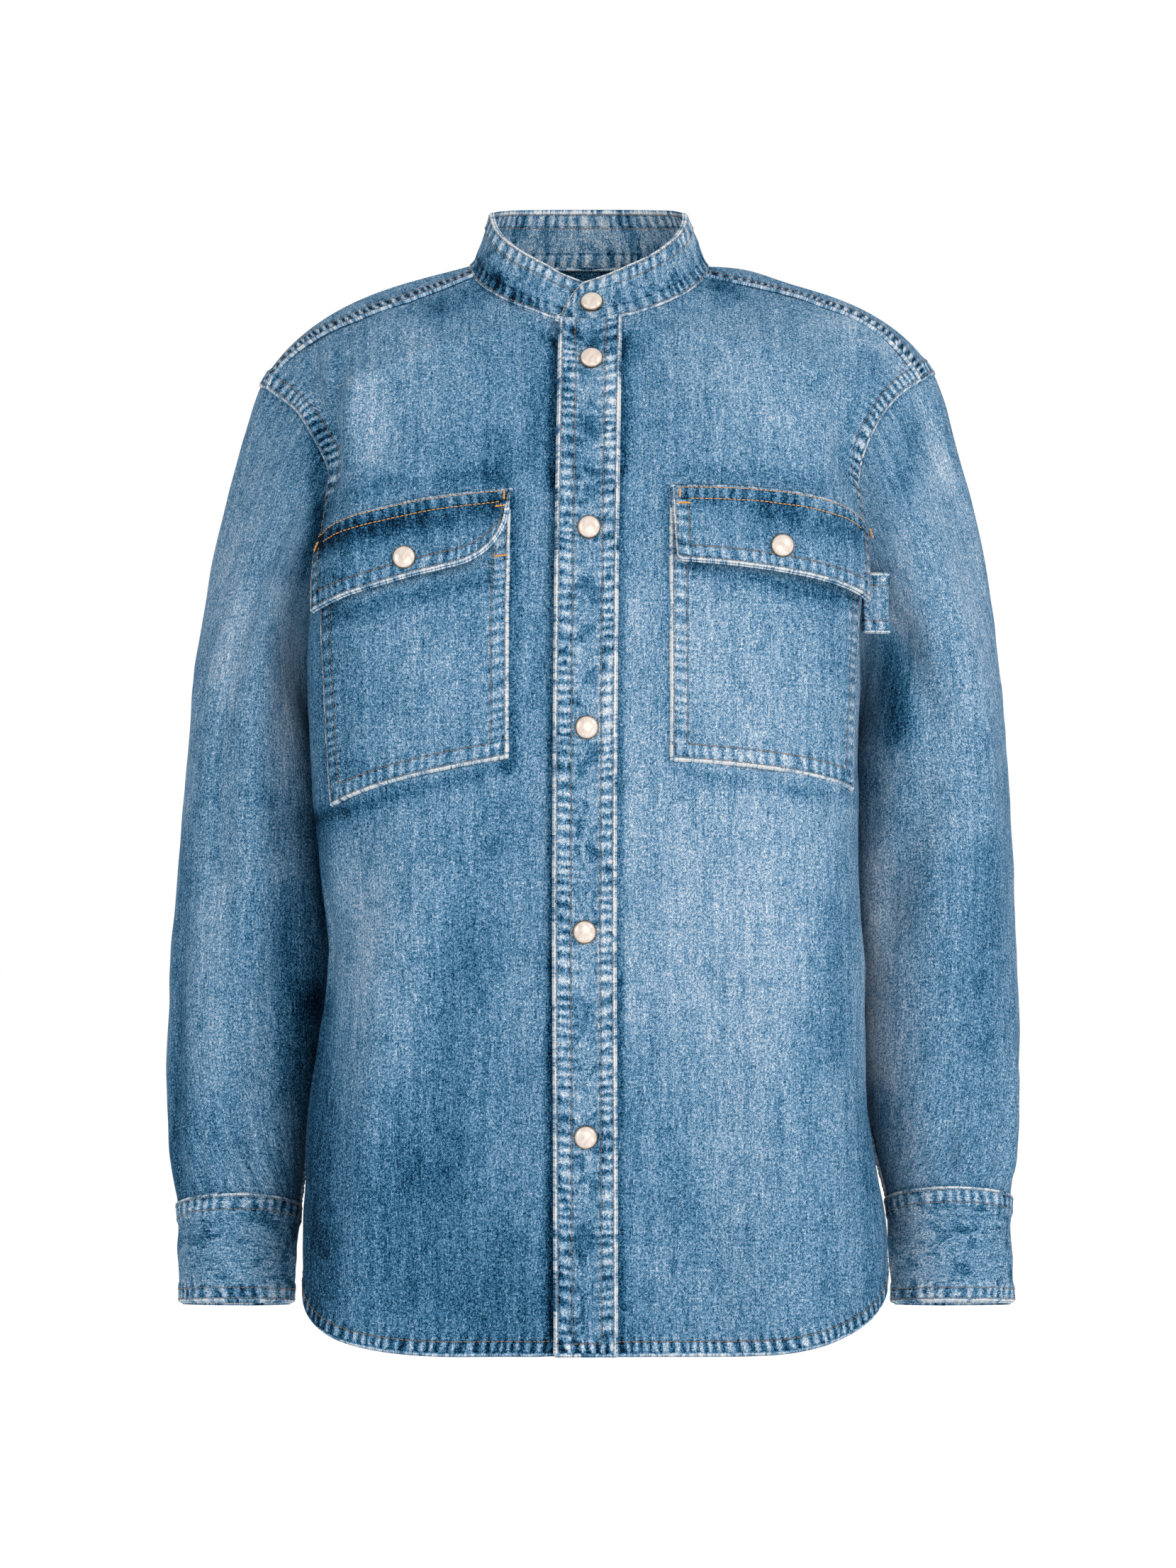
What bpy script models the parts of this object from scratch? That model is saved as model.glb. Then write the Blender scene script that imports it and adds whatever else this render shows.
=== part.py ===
"""Denim shirt jacket with a band collar, snap placket, two flapped chest pockets, a side loop and cuffs.

It keeps the hollow form of a garment that is worn. Tables are in millimetres; meshes are made in metres, +Z up.
The front faces -Y. RIGHT and LEFT are the wearer's sides, so RIGHT lies at -X. The origin is on the middle line at
the back neck seam, where the wearer's neck and shoulders hold the garment.
"""

import math

import bmesh
import bpy
import numpy as np
from mathutils import Matrix, Vector
from mathutils.bvhtree import BVHTree
from mathutils.kdtree import KDTree

MM = 0.001
RIGHT, LEFT = -1, 1
SIDES = {RIGHT: "right", LEFT: "left"}

# Cloth and clearances
CLOTH = 1.6  # a single layer of denim, with its seam allowances evened out
BAND = 2.2  # collar and cuffs: two layers and interlining
GAP = 0.3  # between neighbouring pieces

# Front closing
PLACKET_EDGE = 21.0  # the left front reaches this far past the middle line
UNDER_EDGE = 16.0  # the right front reaches this far under it
PLACKET_WIDTH = 41.0
SINK = 3.2  # how deep the right front passes under the left one
SINK_FROM, SINK_TO = 38.0, 23.0  # distances from the middle line where it starts and ends sinking
SINK_LEAN = 0.5  # near the neck it sinks along a line this far from level, in radians

# Neck seam and collar
NECK_HALF_WIDTH, NECK_MID_Y, NECK_HALF_DEPTH = 77.5, -3.5, 58.5
NECK_FRONT_Z, NECK_SIDE_Z = -48.5, -6.0
TOP_HALF_WIDTH, TOP_MID_Y, TOP_HALF_DEPTH = 64.0, 4.0, 48.0
TOP_FRONT_Z, TOP_SIDE_Z, TOP_BACK_Z = -21.5, 29.0, 40.0
SHOULDER = {RIGHT: (0.0, -2.0), LEFT: (4.5, -2.5)}  # lift beside the collar and further out
SHOULDER_ANGLE = 78.0  # where the front shoulder seam meets the neck, in degrees round from the front
PLACKET_ANGLE, UNDER_ANGLE = -15.7, -11.9  # the same for the two front edges
COLLAR_END = (-4.5, -19.5)  # the outer collar end is rounded off between these distances
COLLAR_END_LOW = 0.35  # its height at the very end, as a share of the collar's

# Along a panel, v runs from the hem (0) to the front shoulder seam (1)
V_ARMPIT, V_NECK, V_YOKE, V_BACK_NECK = 0.56, 0.86, 0.80, 0.88
HEM_LIFT = {RIGHT: 100.0, LEFT: 108.0}  # the shirt tail rises by a little less than this at the side seam
HEM_LIFT_TO = 0.30  # and the rise fades out at this v
LEFT_LIFT = 8.0  # the left armhole sits this much higher

# Rows and columns of the grids
SIDE_ROWS, CHEST_ROWS, NECK_ROWS = 14, 8, 7
BACK_ROWS, YOKE_ROWS, YOKE_NECK_ROWS = 6, 2, 6
COLUMNS = 12
CAP_ROWS, ARM_ROWS = 7, 15
BAND_ROWS = 3

# Front: the middle line, the widest edge that is seen from the front, and the side seam or armhole behind it
FRONT = dict(
    columns=("v", "mid_y", "mid_z", "edge_r", "edge_l", "edge_y", "seam_r", "seam_l", "seam_y", "seam_z"),
    rows=(
        (0.00, -117.0, -720, 186.5, 195.0, -48, 178.0, 186.0, 4, -733),
        (0.07, -118.0, -665, 187.0, 196.0, -48, 178.0, 187.0, 4, -682),
        (0.14, -119.0, -610, 186.0, 190.0, -48, 177.0, 181.0, 4, -631),
        (0.21, -120.0, -555, 184.5, 183.0, -48, 175.5, 174.0, 4, -580),
        (0.28, -121.0, -500, 178.5, 181.0, -48, 169.5, 172.0, 4, -528),
        (0.35, -122.0, -445, 171.5, 180.0, -48, 163.0, 171.0, 4, -476),
        (0.42, -122.5, -390, 175.0, 176.5, -48, 166.5, 168.0, 4, -424),
        (0.49, -122.0, -335, 181.0, 177.0, -48, 172.5, 168.5, 4, -371),
        (0.56, -121.0, -279, 183.5, 177.0, -50, 175.5, 169.0, 3, -315),
        (0.63, -117.0, -223, 184.0, 177.5, -55, 174.5, 168.0, -33, -262),
        (0.70, -110.0, -167, 178.0, 179.5, -60, 171.5, 173.0, -53, -208),
        (0.78, -91.0, -107, 170.0, 177.0, -61, 170.0, 177.0, -61, -161),
        (0.86, -63.3, -51.5, 178.0, 185.5, -55, 178.0, 185.5, -55, -130),
        (0.93, -62.0, -51, 193.0, 202.0, -38, 193.0, 202.0, -38, -106),
        (1.00, -62.0, -51, 215.0, 226.0, -10, 215.0, 226.0, -10, -88),
    ),
)
# Back and yoke: the middle line, and the armhole behind and over the shoulder
BACK = dict(
    columns=("v", "mid_y", "mid_z", "seam_r", "seam_l", "seam_y", "seam_z"),
    rows=(
        (0.56, 118, -270, 175.5, 169.0, 3, -315),
        (0.62, 121, -226, 172.0, 166.0, 38, -284),
        (0.68, 120, -184, 172.5, 168.5, 58, -236),
        (0.74, 115, -139, 177.0, 176.0, 66, -181),
        (0.80, 104, -95, 187.0, 190.0, 61, -134),
        (0.84, 83, -47, 198.0, 204.0, 51, -112),
        (0.88, 55, 0, 207.0, 214.5, 38, -100),
        (0.92, 55, 0, 214.5, 223.5, 23, -91),
        (0.96, 55, 0, 220.0, 231.0, 6, -86),
        (1.00, 55, 0, 215.0, 226.0, -10, -88),
    ),
)
BACK_MIDDLE = dict(
    columns=("v", "mid_y", "mid_z"),
    rows=((0.00, 112, -720), (0.14, 108, -600), (0.28, 107, -480), (0.42, 111, -370), (0.56, 118, -270)),
)
# How a row of the panel arrives at its edge: its pull, its turn from straight across to straight back, its fall,
# and the slope with which it leaves the neck
FRONT_REACH = dict(
    columns=("v", "reach", "turn", "fall", "slope"),
    rows=(
        (0.00, 1.32, 90, 26, 0.00),
        (0.56, 1.32, 90, 72, 0.00),
        (0.70, 1.25, 88, 84, 0.00),
        (0.78, 1.10, 68, 110, 0.00),
        (0.86, 1.00, 52, 150, 0.06),
        (0.93, 0.85, 36, 165, 0.22),
        (1.00, 0.60, 8, 170, 0.31),
    ),
)
BACK_REACH = dict(
    columns=("v", "reach", "turn", "fall", "slope"),
    rows=(
        (0.00, 1.35, -71, 26, 0.00),
        (0.56, 1.35, -71, 90, 0.00),
        (0.68, 1.15, -58, 100, 0.00),
        (0.80, 1.00, -40, 80, 0.00),
        (0.88, 0.85, -24, 165, 0.08),
        (0.96, 0.65, -3, 175, 0.30),
        (1.00, 0.60, 8, 170, 0.31),
    ),
)
# Sleeve rings below the cap: outer and inner reach of each side, middle, half depth, and how far the front is tipped up
SLEEVE = dict(
    columns=("t", "z", "out_r", "out_l", "in_r", "in_l", "mid_y", "depth", "tilt"),
    rows=(
        (0.00, -345, 271.0, 281.0, 177.0, 176.0, 15, 66, 0),
        (0.20, -403, 276.0, 285.0, 172.5, 175.5, 20, 66, 2),
        (0.42, -466, 281.0, 287.5, 169.5, 178.0, 21, 64, 5),
        (0.60, -518, 283.0, 289.0, 176.5, 181.0, 14, 60, 9),
        (0.76, -562, 282.5, 287.0, 183.5, 185.0, 6, 55, 12),
        (0.90, -602, 280.0, 285.0, 190.0, 192.0, -3, 49, 15),
        (1.00, -634, 273.0, 279.5, 194.0, 200.0, -10, 38, 17),
    ),
)
CUFF_BOTTOM = dict(z=-697, out_r=270.5, out_l=281.0, in_r=198.5, in_l=203.5, mid_y=-19, depth=36, tilt=8)
CUFF_OPENING = -118.0  # where the cuff closes, in degrees from its outer line; negative is behind
CUFF_LAP = 26.0  # degrees by which the cuff's ends lap
CUFF_COLUMNS = 22

# Pockets and flaps: corners, as distance from the middle line along the cloth, and height
POCKET = {
    RIGHT: dict(top_in=(53, -176), top_out=(184, -206), low_out=(176, -366), low_in=(53, -335)),
    LEFT: dict(top_in=(53, -175), top_out=(190, -196), low_out=(184, -356), low_in=(53, -336.5)),
}
FLAP = {
    RIGHT: dict(top_in=(52, -163), top_out=(193, -193.5), low_out=(183, -240.5), low_in=(53.5, -206.5)),
    LEFT: dict(top_in=(54, -161), top_out=(197, -182.5), low_out=(191, -232.5), low_in=(58, -208.5)),
}
POCKET_GRID, FLAP_GRID = (10, 12), (6, 10)
POCKET_CLOTH, FLAP_CLOTH = 1.2, 2.0
POCKET_FULL = 2.5  # how far the middle of the pocket stands out
FLAP_STAND = 4.0  # how far the flap's free edge stands out
FLAP_CURL = {RIGHT: 15.0, LEFT: 0.0}  # the right flap's inner corner curls forward by this

LOOP = dict(root_x=180.0, tip_x=196.0, root_y=-66.0, tip_y=-63.0, top=-215.0, bottom=-253.0)
LOOP_CLOTH, LOOP_BEND = 1.2, 1.6  # cloth, and half the distance between its two layers
SLEEVE_PLACKET = dict(width=22.0, length=130.0)

# Snaps: a rim and a domed cap
SNAP_RADIUS, SNAP_RIM, SNAP_HEIGHT, SNAP_STEPS = 6.8, 1.1, 3.3, 14
COLLAR_SNAP = (1.8, -36.0)  # x and z
FRONT_SNAPS = ((1.6, -75.0), (0.0, -187.0), (-1.3, -316.0), (-2.8, -447.5), (-2.0, -579.5))
FLAP_SNAP = {RIGHT: (0.50, 0.76), LEFT: (0.49, 0.71)}  # places across and down the flaps

# The largest folds of the body: a line seen from the front or the back, its width and its height (a hollow if < 0)
FOLDS = dict(
    columns=("x0", "z0", "x1", "z1", "width", "height", "back"),
    rows=(
        (-95, -360, -150, -720, 34, 9, 0),
        (-58, -400, -62, -730, 26, -6, 0),
        (-150, -350, -172, -560, 26, -6, 0),
        (-152, -60, -150, -230, 20, 5, 0),
        (-172, -70, -168, -150, 11, -5, 0),
        (84, -480, 70, -730, 36, -6, 0),
        (140, -380, 128, -730, 34, 7, 0),
        (170, -60, 166, -160, 13, -4, 0),
        (110, -400, 120, -730, 40, 8, 1),
        (45, -380, 40, -730, 34, -6, 1),
        (-30, -420, -35, -730, 36, 6, 1),
        (-105, -380, -120, -730, 38, -7, 1),
        (-150, -150, -120, -330, 30, 5, 1),
        (150, -150, 122, -330, 30, 5, 1),
    ),
)
# The largest folds of the sleeves: a line round (degrees from the outer line, front positive) and down (z)
SLEEVE_FOLDS = dict(
    columns=("side", "turn0", "z0", "turn1", "z1", "width", "height"),
    rows=(
        (RIGHT, 62, -120, 66, -420, 13, -5),
        (RIGHT, 100, -200, 92, -470, 16, 5),
        (RIGHT, 34, -430, 30, -628, 9, -4),
        (RIGHT, 120, -420, 100, -620, 20, -4),
        (LEFT, 118, -230, 84, -330, 20, -8),
        (LEFT, 84, -330, 130, -450, 20, -7),
        (LEFT, 52, -110, 48, -420, 16, 4),
        (LEFT, 70, -480, 96, -628, 15, -4),
        (LEFT, 30, -520, 26, -628, 12, 4),
        (RIGHT, -70, -300, -95, -480, 20, -6),
        (LEFT, -70, -300, -95, -480, 20, -6),
        (RIGHT, -60, -500, -50, -628, 14, 4),
        (LEFT, -60, -500, -50, -628, 14, 4),
    ),
)

DENIM, DENIM_DARK, PEARL = (0.20, 0.36, 0.56), (0.14, 0.27, 0.46), (0.82, 0.74, 0.66)


# ---- small mathematics ----


def through(table, at, names):
    """A smooth curve through a table's rows at its first column, for the named columns."""
    rows = np.array(table["rows"], float)
    keys, values = rows[:, 0], rows[:, [table["columns"].index(n) for n in names]]
    return curve(keys, values, at)


def curve(keys, values, at):
    keys, values = np.asarray(keys, float), np.asarray(values, float)
    steps = np.diff(values, axis=0) / np.diff(keys)[:, None]
    inner = (steps[1:] + steps[:-1]) / 2
    slopes = np.vstack([steps[:1], inner, steps[-1:]])
    at = min(max(at, keys[0]), keys[-1])
    i = int(np.clip(np.searchsorted(keys, at) - 1, 0, len(keys) - 2))
    width = keys[i + 1] - keys[i]
    return hermite(values[i], slopes[i] * width, values[i + 1], slopes[i + 1] * width, (at - keys[i]) / width)


def hermite(start, leave, end, arrive, t):
    return (
        start * (2 * t**3 - 3 * t**2 + 1)
        + leave * (t**3 - 2 * t**2 + t)
        + end * (3 * t**2 - 2 * t**3)
        + arrive * (t**3 - t**2)
    )


def ease(low, high, x):
    t = np.clip((x - low) / (high - low), 0, 1)
    return t * t * (3 - 2 * t)


def evenly(line, shares):
    """Points at these shares of a line's length."""
    along = np.concatenate([[0], np.cumsum(np.linalg.norm(np.diff(line, axis=0), axis=1))])
    return np.stack([np.interp(np.asarray(shares) * along[-1], along, line[:, k]) for k in range(3)], axis=-1)


def unit(vectors):
    return vectors / np.maximum(np.linalg.norm(vectors, axis=-1, keepdims=True), 1e-9)


# ---- the garment's surface; x is counted outwards on each side until a point is finished ----


def neck(angle):
    """The neck seam, at an angle round from the front."""
    a = math.radians(angle)
    ahead = math.cos(max(a, 0.0))  # past the middle line it runs straight on
    if angle <= 90:
        z = NECK_FRONT_Z + (NECK_SIDE_Z - NECK_FRONT_Z) * (1 - ahead) ** 0.78
    else:
        z = NECK_SIDE_Z * (1 + ahead)
    return np.array([NECK_HALF_WIDTH * math.sin(a), NECK_MID_Y - NECK_HALF_DEPTH * ahead, z])


def collar_top(angle):
    a = math.radians(angle)
    if angle <= 90:  # past the middle line it keeps falling
        turned = angle / 90
        z = TOP_FRONT_Z + (TOP_SIDE_Z - TOP_FRONT_Z) * (0.75 * turned + 0.25 * turned * abs(turned))
    else:
        z = TOP_SIDE_Z + (TOP_BACK_Z - TOP_SIDE_Z) * math.sin(a - math.pi / 2) ** 0.8
    return np.array([TOP_HALF_WIDTH * math.sin(a), TOP_MID_Y - TOP_HALF_DEPTH * math.cos(a), z])


def pick(side, table, at, ends):
    """x, y, z of a table's edge or seam on this side."""
    letter = "r" if side == RIGHT else "l"
    x, y, z = through(table, at, (f"{ends}_{letter}", f"{ends}_y", "seam_z"))
    lift = LEFT_LIFT * ease(0.2, V_ARMPIT, at) if side == LEFT else 0.0
    return np.array([x, y, z + lift])


def row_curve(start, leave_slope, end, reach, turn, fall, tail=None, count=60):
    """A row of cloth from the middle or the neck to the edge, and on to the seam behind it."""
    across = np.linalg.norm((end - start)[:2])
    turned = math.radians(turn)
    leave = np.array([1.15 * across, 0, -leave_slope * across])
    arrive = np.array([reach * across * math.cos(turned), reach * across * math.sin(turned), -fall])
    t = np.linspace(0, 1, count)[:, None]
    line = hermite(start, leave, end, arrive, t)
    if tail is not None and abs(tail[1] - end[1]) > 0.5:
        s = np.linspace(0, 1, count // 3)[1:, None]
        more = end + (tail - end) * s
        more[:, 0] = end[0] + (tail[0] - end[0]) * s[:, 0] ** 2
        line = np.vstack([line, more])
    return line


def hem_lift(side, v, shares):
    high = HEM_LIFT[side]
    return high * (1 - np.exp(-1.9 * np.asarray(shares) ** 5)) * max(0.0, 1 - v / HEM_LIFT_TO) ** 2


def front_line(side, v):
    """A fine line along one row of a front, from its front edge to the seam at its side."""
    edge, seam = pick(side, FRONT, v, "edge"), pick(side, FRONT, v, "seam")
    edge[2] = seam[2] if v >= V_ARMPIT else seam[2] + 2
    reach, turn, fall, slope = through(FRONT_REACH, v, ("reach", "turn", "fall", "slope"))
    edge_x, edge_angle = (-PLACKET_EDGE, PLACKET_ANGLE) if side == LEFT else (-UNDER_EDGE, UNDER_ANGLE)
    if v <= V_NECK:
        y, z = through(FRONT, v, ("mid_y", "mid_z"))
        line = row_curve(np.array([0, y, z]), slope, edge, reach, turn, fall, seam)
        past = -edge_x * np.linspace(1, 0, 9)[:-1]
        mirrored = np.stack([-past] + [np.interp(past, line[:50, 0], line[:50, k]) for k in (1, 2)], axis=1)
        line = np.vstack([mirrored, line])
        near = ease(-5, edge_x, line[:, 0]) * ease(V_NECK - 0.05, V_NECK, v)
        line += (neck(edge_angle) - line[0]) * near[:, None]
    else:
        share = (v - V_NECK) / (1 - V_NECK)
        start = neck(edge_angle + (SHOULDER_ANGLE - edge_angle) * share)
        line = row_curve(start, slope, edge, reach, turn, fall, seam)
    line = evenly(line, np.linspace(0, 1, 81))
    line[:, 2] += hem_lift(side, v, np.linspace(0, 1, 81))
    if side == RIGHT:
        line += sunk(line[:, 0], SINK_LEAN * ease(0.5, V_NECK, v))
    line[:, 0] *= side
    return body_folds(line)


def sunk(x, lean):
    """How far the right front is moved at x, measured outwards, so that it passes under the left front."""
    deep = SINK * ease(SINK_FROM, SINK_TO, np.asarray(x, float))
    return np.stack([0 * deep, deep * math.cos(lean), -deep * math.sin(lean)], axis=-1)


def front_columns(side, v, length):
    """Distances of the columns from the front edge. The first ones lie on the lines that the closing needs."""
    if side == LEFT:
        near = PLACKET_WIDTH * np.linspace(0, 1, 4)
    else:
        near = UNDER_EDGE + np.array([-UNDER_EDGE, 3.5, SINK_TO, (SINK_TO + SINK_FROM) / 2, SINK_FROM])
    rest = np.linspace(near[-1], length, COLUMNS + 2 - len(near))[1:]
    even = np.linspace(0, length, COLUMNS + 1)
    share = ease(V_NECK, 1, v)
    return np.concatenate([near, rest]) * (1 - share) + even * share


def front_row(side, v):
    """The front's points along one row."""
    line = front_line(side, v)
    length = np.linalg.norm(np.diff(line, axis=0), axis=1).sum()
    return evenly(line, front_columns(side, v, length) / length)


def shoulder_lift(side, v, shares):
    """The shoulders differ a little: the left one stands higher beside the collar and slopes down further out."""
    near, far = SHOULDER[side]
    shares = np.asarray(shares)
    lift = near * np.exp(-(((shares - 0.18) / 0.14) ** 2)) + far * np.exp(-(((shares - 0.62) / 0.22) ** 2))
    return lift * ease(0, 0.08, shares) * ease(0.8, 0.92, v) * (1 - ease(0.96, 1.0, v))


def back_row(side, v, shares):
    """Points along one row of the back or the yoke, from the middle."""
    reach, turn, fall, slope = through(BACK_REACH, v, ("reach", "turn", "fall", "slope"))
    if v <= V_ARMPIT:
        seam = pick(side, FRONT, v, "seam")
        y, z = through(BACK_MIDDLE, v, ("mid_y", "mid_z"))
    else:
        seam = pick(side, BACK, v, "seam")
        y, z = through(BACK, v, ("mid_y", "mid_z"))
    if v <= V_BACK_NECK:
        start = np.array([0, y, z])
    else:
        share = (v - V_BACK_NECK) / (1 - V_BACK_NECK)
        start = neck(180 + (SHOULDER_ANGLE - 180) * share)
    points = evenly(row_curve(start, slope, seam, reach, turn, fall), shares)
    points[:, 2] += hem_lift(side, v, shares) + shoulder_lift(side, v, shares)
    points[:, 0] *= side
    return points


def sleeve_ring(side, t):
    """Centre, outward and forward half axes of a sleeve ring below the cap, or of the cuff's bottom at t = 2."""
    letter = "r" if side == RIGHT else "l"
    names = ("z", f"out_{letter}", f"in_{letter}", "mid_y", "depth", "tilt")
    top = through(SLEEVE, min(t, 1.0), names)
    if t > 1:
        bottom = np.array([CUFF_BOTTOM[n] for n in names])
        top = top + (bottom - top) * (t - 1)
    z, out, inn, y, depth, tilt = top
    lift = 4.5 * ease(0.5, 1.0, t) * (1 - ease(1, 2, t)) if side == LEFT else 0.0
    centre = np.array([side * (out + inn) / 2, y, z + lift])
    outward = np.array([side * (out - inn) / 2, 0, 0])
    tipped = math.radians(tilt)
    forward = np.array([0, -depth * math.cos(tipped), depth * math.sin(tipped)])
    return centre, outward, forward


def on_ring(ring, turns):
    centre, outward, forward = ring
    turned = np.radians(np.asarray(turns))[:, None]
    return centre + outward * np.cos(turned) + forward * np.sin(turned)


def armhole_turns(loop, top, armpit):
    """For each point of the armhole, its angle on the sleeve: 0 at the shoulder, 180 at the armpit, front positive."""
    lengths = np.linalg.norm(np.diff(np.vstack([loop, loop[:1]]), axis=0), axis=1)
    along = np.concatenate([[0], np.cumsum(lengths)])[:-1] - 0.0
    total = lengths.sum()
    to_armpit = (along[armpit] - along[top]) % total
    turns = []
    for place in along:
        ahead = (place - along[top]) % total
        turns.append(180 * ahead / to_armpit if ahead <= to_armpit else -180 * (total - ahead) / (total - to_armpit))
    return np.array(turns)


def sleeve_points(side, loop, turns, rows):
    """Rings of points from the armhole down to the cuff; rows run from 0 to 1 over the cap and from 1 to 2 below."""
    first = on_ring(sleeve_ring(side, 0), turns)
    below = on_ring(sleeve_ring(side, 0.05), turns) - first
    outer = (1 + np.cos(np.radians(turns)))[:, None] / 2
    away = unit(below) * np.array([[1, 1, 1]])
    sideways = np.array([side, 0.0, 0.0])
    drop = np.linalg.norm(first - loop, axis=1)[:, None]
    leave = (sideways * (0.42 * outer + 1.25 * (1 - outer)) + np.array([0, 0, -1.0]) * (0.95 * outer + 0.3)) * drop
    arrive = away * drop
    rings = []
    for row in rows:
        if row <= 1:
            rings.append(hermite(loop, leave, first, arrive, row))
        else:
            rings.append(on_ring(sleeve_ring(side, row - 1), turns))
    return np.array(rings)


def body_folds(points):
    """Moves the body's points out or in at its largest folds."""
    flat = points.reshape(-1, 3)
    outwards = unit(np.stack([flat[:, 0] * 0.45, flat[:, 1], 0 * flat[:, 0]], axis=1))
    moved = np.zeros(len(flat))
    for x0, z0, x1, z1, width, height, back in FOLDS["rows"]:
        moved += ridge(flat[:, [0, 2]], (x0, z0), (x1, z1), width) * height * ((flat[:, 1] > 0) == bool(back))
    quiet = ease(50, 66, np.abs(flat[:, 1])) * ease(24, 40, np.abs(flat[:, 0]) + 40 * (flat[:, 1] > 0))
    return (flat + outwards * (moved * quiet)[:, None]).reshape(points.shape)


def ridge(places, start, end, width):
    """1 on a line, falling off across it and towards its ends."""
    start, end = np.array(start, float), np.array(end, float)
    way = end - start
    t = ((places - start) @ way) / (way @ way)
    across = np.linalg.norm(places - start - np.clip(t, 0, 1)[:, None] * way, axis=1)
    ends = ease(-0.05, 0.3, t) * (1 - ease(0.85, 1.25, t))
    return np.exp(-((across / width) ** 2)) * ends


def sleeve_folds(side, rings, turns):
    centres = rings.mean(axis=1, keepdims=True)
    outwards = unit((rings - centres) * np.array([1, 1, 0.3]))
    moved = np.zeros(rings.shape[:2])
    for fold_side, turn0, z0, turn1, z1, width, height in SLEEVE_FOLDS["rows"]:
        if fold_side != side:
            continue
        for k, ring in enumerate(rings):
            places = np.stack([turns, ring[:, 2]], axis=1)
            moved[k] += ridge(places, (turn0, z0), (turn1, z1), width) * height
    count = len(rings)
    quiet = np.minimum(ease(0, 3, np.arange(count)), ease(count - 1, count - 2, np.arange(count)))
    hidden = 1 - ease(125, 160, np.abs(turns))
    return rings + outwards * (moved * quiet[:, None] * hidden[None, :])[..., None]


# ---- from points to cloth ----


class Sheet:
    """An open surface: points and four-sided faces."""

    def __init__(self, grid, round_it=False):
        grid = np.asarray(grid, float)
        rows, columns = grid.shape[:2]
        index = np.arange(rows * columns).reshape(rows, columns)
        if round_it:
            index = np.hstack([index, index[:, :1]])
        self.points = grid.reshape(-1, 3)
        self.faces = np.stack([index[:-1, :-1], index[:-1, 1:], index[1:, 1:], index[1:, :-1]], axis=-1).reshape(-1, 4)

    def joined(self, other):
        """Both sheets as one, with the points that they share made one."""
        points = np.vstack([self.points, other.points])
        faces = np.vstack([self.faces, other.faces[:, ::-1] + len(self.points)])
        _, first, index = np.unique(np.round(points, 2), axis=0, return_index=True, return_inverse=True)
        self.points, self.faces = points[first], index.reshape(-1)[faces]
        return self

    def normals(self):
        """Unnormalised normals at the points."""
        a, b, c, d = (self.points[self.faces[:, k]] for k in range(4))
        face = np.cross(c - a, d - b)
        total = np.zeros_like(self.points)
        for k in range(4):
            np.add.at(total, self.faces[:, k], face)
        return total


def turned_out(sheet, centre):
    """Faces turned so that the normals point away from the centre line on average."""
    normals = sheet.normals()
    if np.einsum("ij,ij->i", normals, sheet.points - centre).sum() < 0:
        sheet.faces = sheet.faces[:, ::-1]
    return sheet


def shared_normals(sheets):
    """Normals in which the sheets that meet at a seam agree, so that their walls meet in a mitre."""
    points = np.vstack([s.points for s in sheets])
    total = np.vstack([unit(s.normals()) for s in sheets])
    tree = KDTree(len(points))
    for i, point in enumerate(points):
        tree.insert(point, i)
    tree.balance()
    merged = np.array([total[[i for _, i, _ in tree.find_range(point, 0.05)]].sum(axis=0) for point in points])
    found = np.split(unit(merged), np.cumsum([len(s.points) for s in sheets])[:-1])
    return dict(zip((id(s) for s in sheets), found))


def cloth(name, sheet, normals, out, inn, colour, pull=GAP / 2):
    """A wall from a sheet, from inn to out along the normals, with its edges drawn back from the seams."""
    mesh = bmesh.new()
    outer = [mesh.verts.new(p) for p in sheet.points + normals * out]
    inner = [mesh.verts.new(p) for p in sheet.points + normals * inn]
    centres = sheet.points[sheet.faces].mean(axis=1)
    drawn = {}
    for face, centre in zip(sheet.faces, centres):
        mesh.faces.new([outer[i] for i in face])
        mesh.faces.new([inner[i] for i in face[::-1]])
        for i in face:
            drawn.setdefault(i, []).append(centre)
    edges = {}
    for face in sheet.faces:
        for i, j in zip(face, np.roll(face, -1)):
            edges[(i, j)] = edges.get((i, j), 0) + 1
    rim = [(i, j) for (i, j) in edges if (j, i) not in edges]
    for i, j in rim:
        # the same diagonal in both pieces at a seam
        a, b = (i, j) if tuple(sheet.points[i]) < tuple(sheet.points[j]) else (j, i)
        mesh.faces.new([outer[j], outer[i], inner[a]])
        mesh.faces.new([outer[b], inner[i], inner[j]])
    for i in {i for edge in rim for i in edge}:
        ends = [j for edge in rim if i in edge for j in edge if j != i]
        along = unit(sheet.points[ends[0]] - sheet.points[ends[-1]])
        inwards = np.mean(drawn[i], axis=0) - sheet.points[i]
        square = len(drawn[i]) > 1
        if square:
            inwards = inwards - along * (inwards @ along)
        inwards = unit(inwards - normals[i] * (inwards @ normals[i])) * pull * (1 if square else math.sqrt(2))
        for vert in (outer[i], inner[i]):
            vert.co += Vector(inwards)
    bmesh.ops.recalc_face_normals(mesh, faces=mesh.faces)
    bmesh.ops.triangulate(mesh, faces=mesh.faces[:], quad_method="FIXED")
    return finished(name, mesh, colour)


def finished(name, mesh, colour, smooth=True):
    """An object of the garment from a mesh in millimetres."""
    bmesh.ops.scale(mesh, vec=Vector((MM, MM, MM)), verts=mesh.verts)
    data = bpy.data.meshes.new(name)
    mesh.to_mesh(data)
    mesh.free()
    data.materials.append(material(name, colour))
    if smooth:
        data.shade_smooth()
        data.set_sharp_from_angle(angle=math.radians(50))
    made = bpy.data.objects.new(name, data)
    garment.objects.link(made)
    return made


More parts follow.
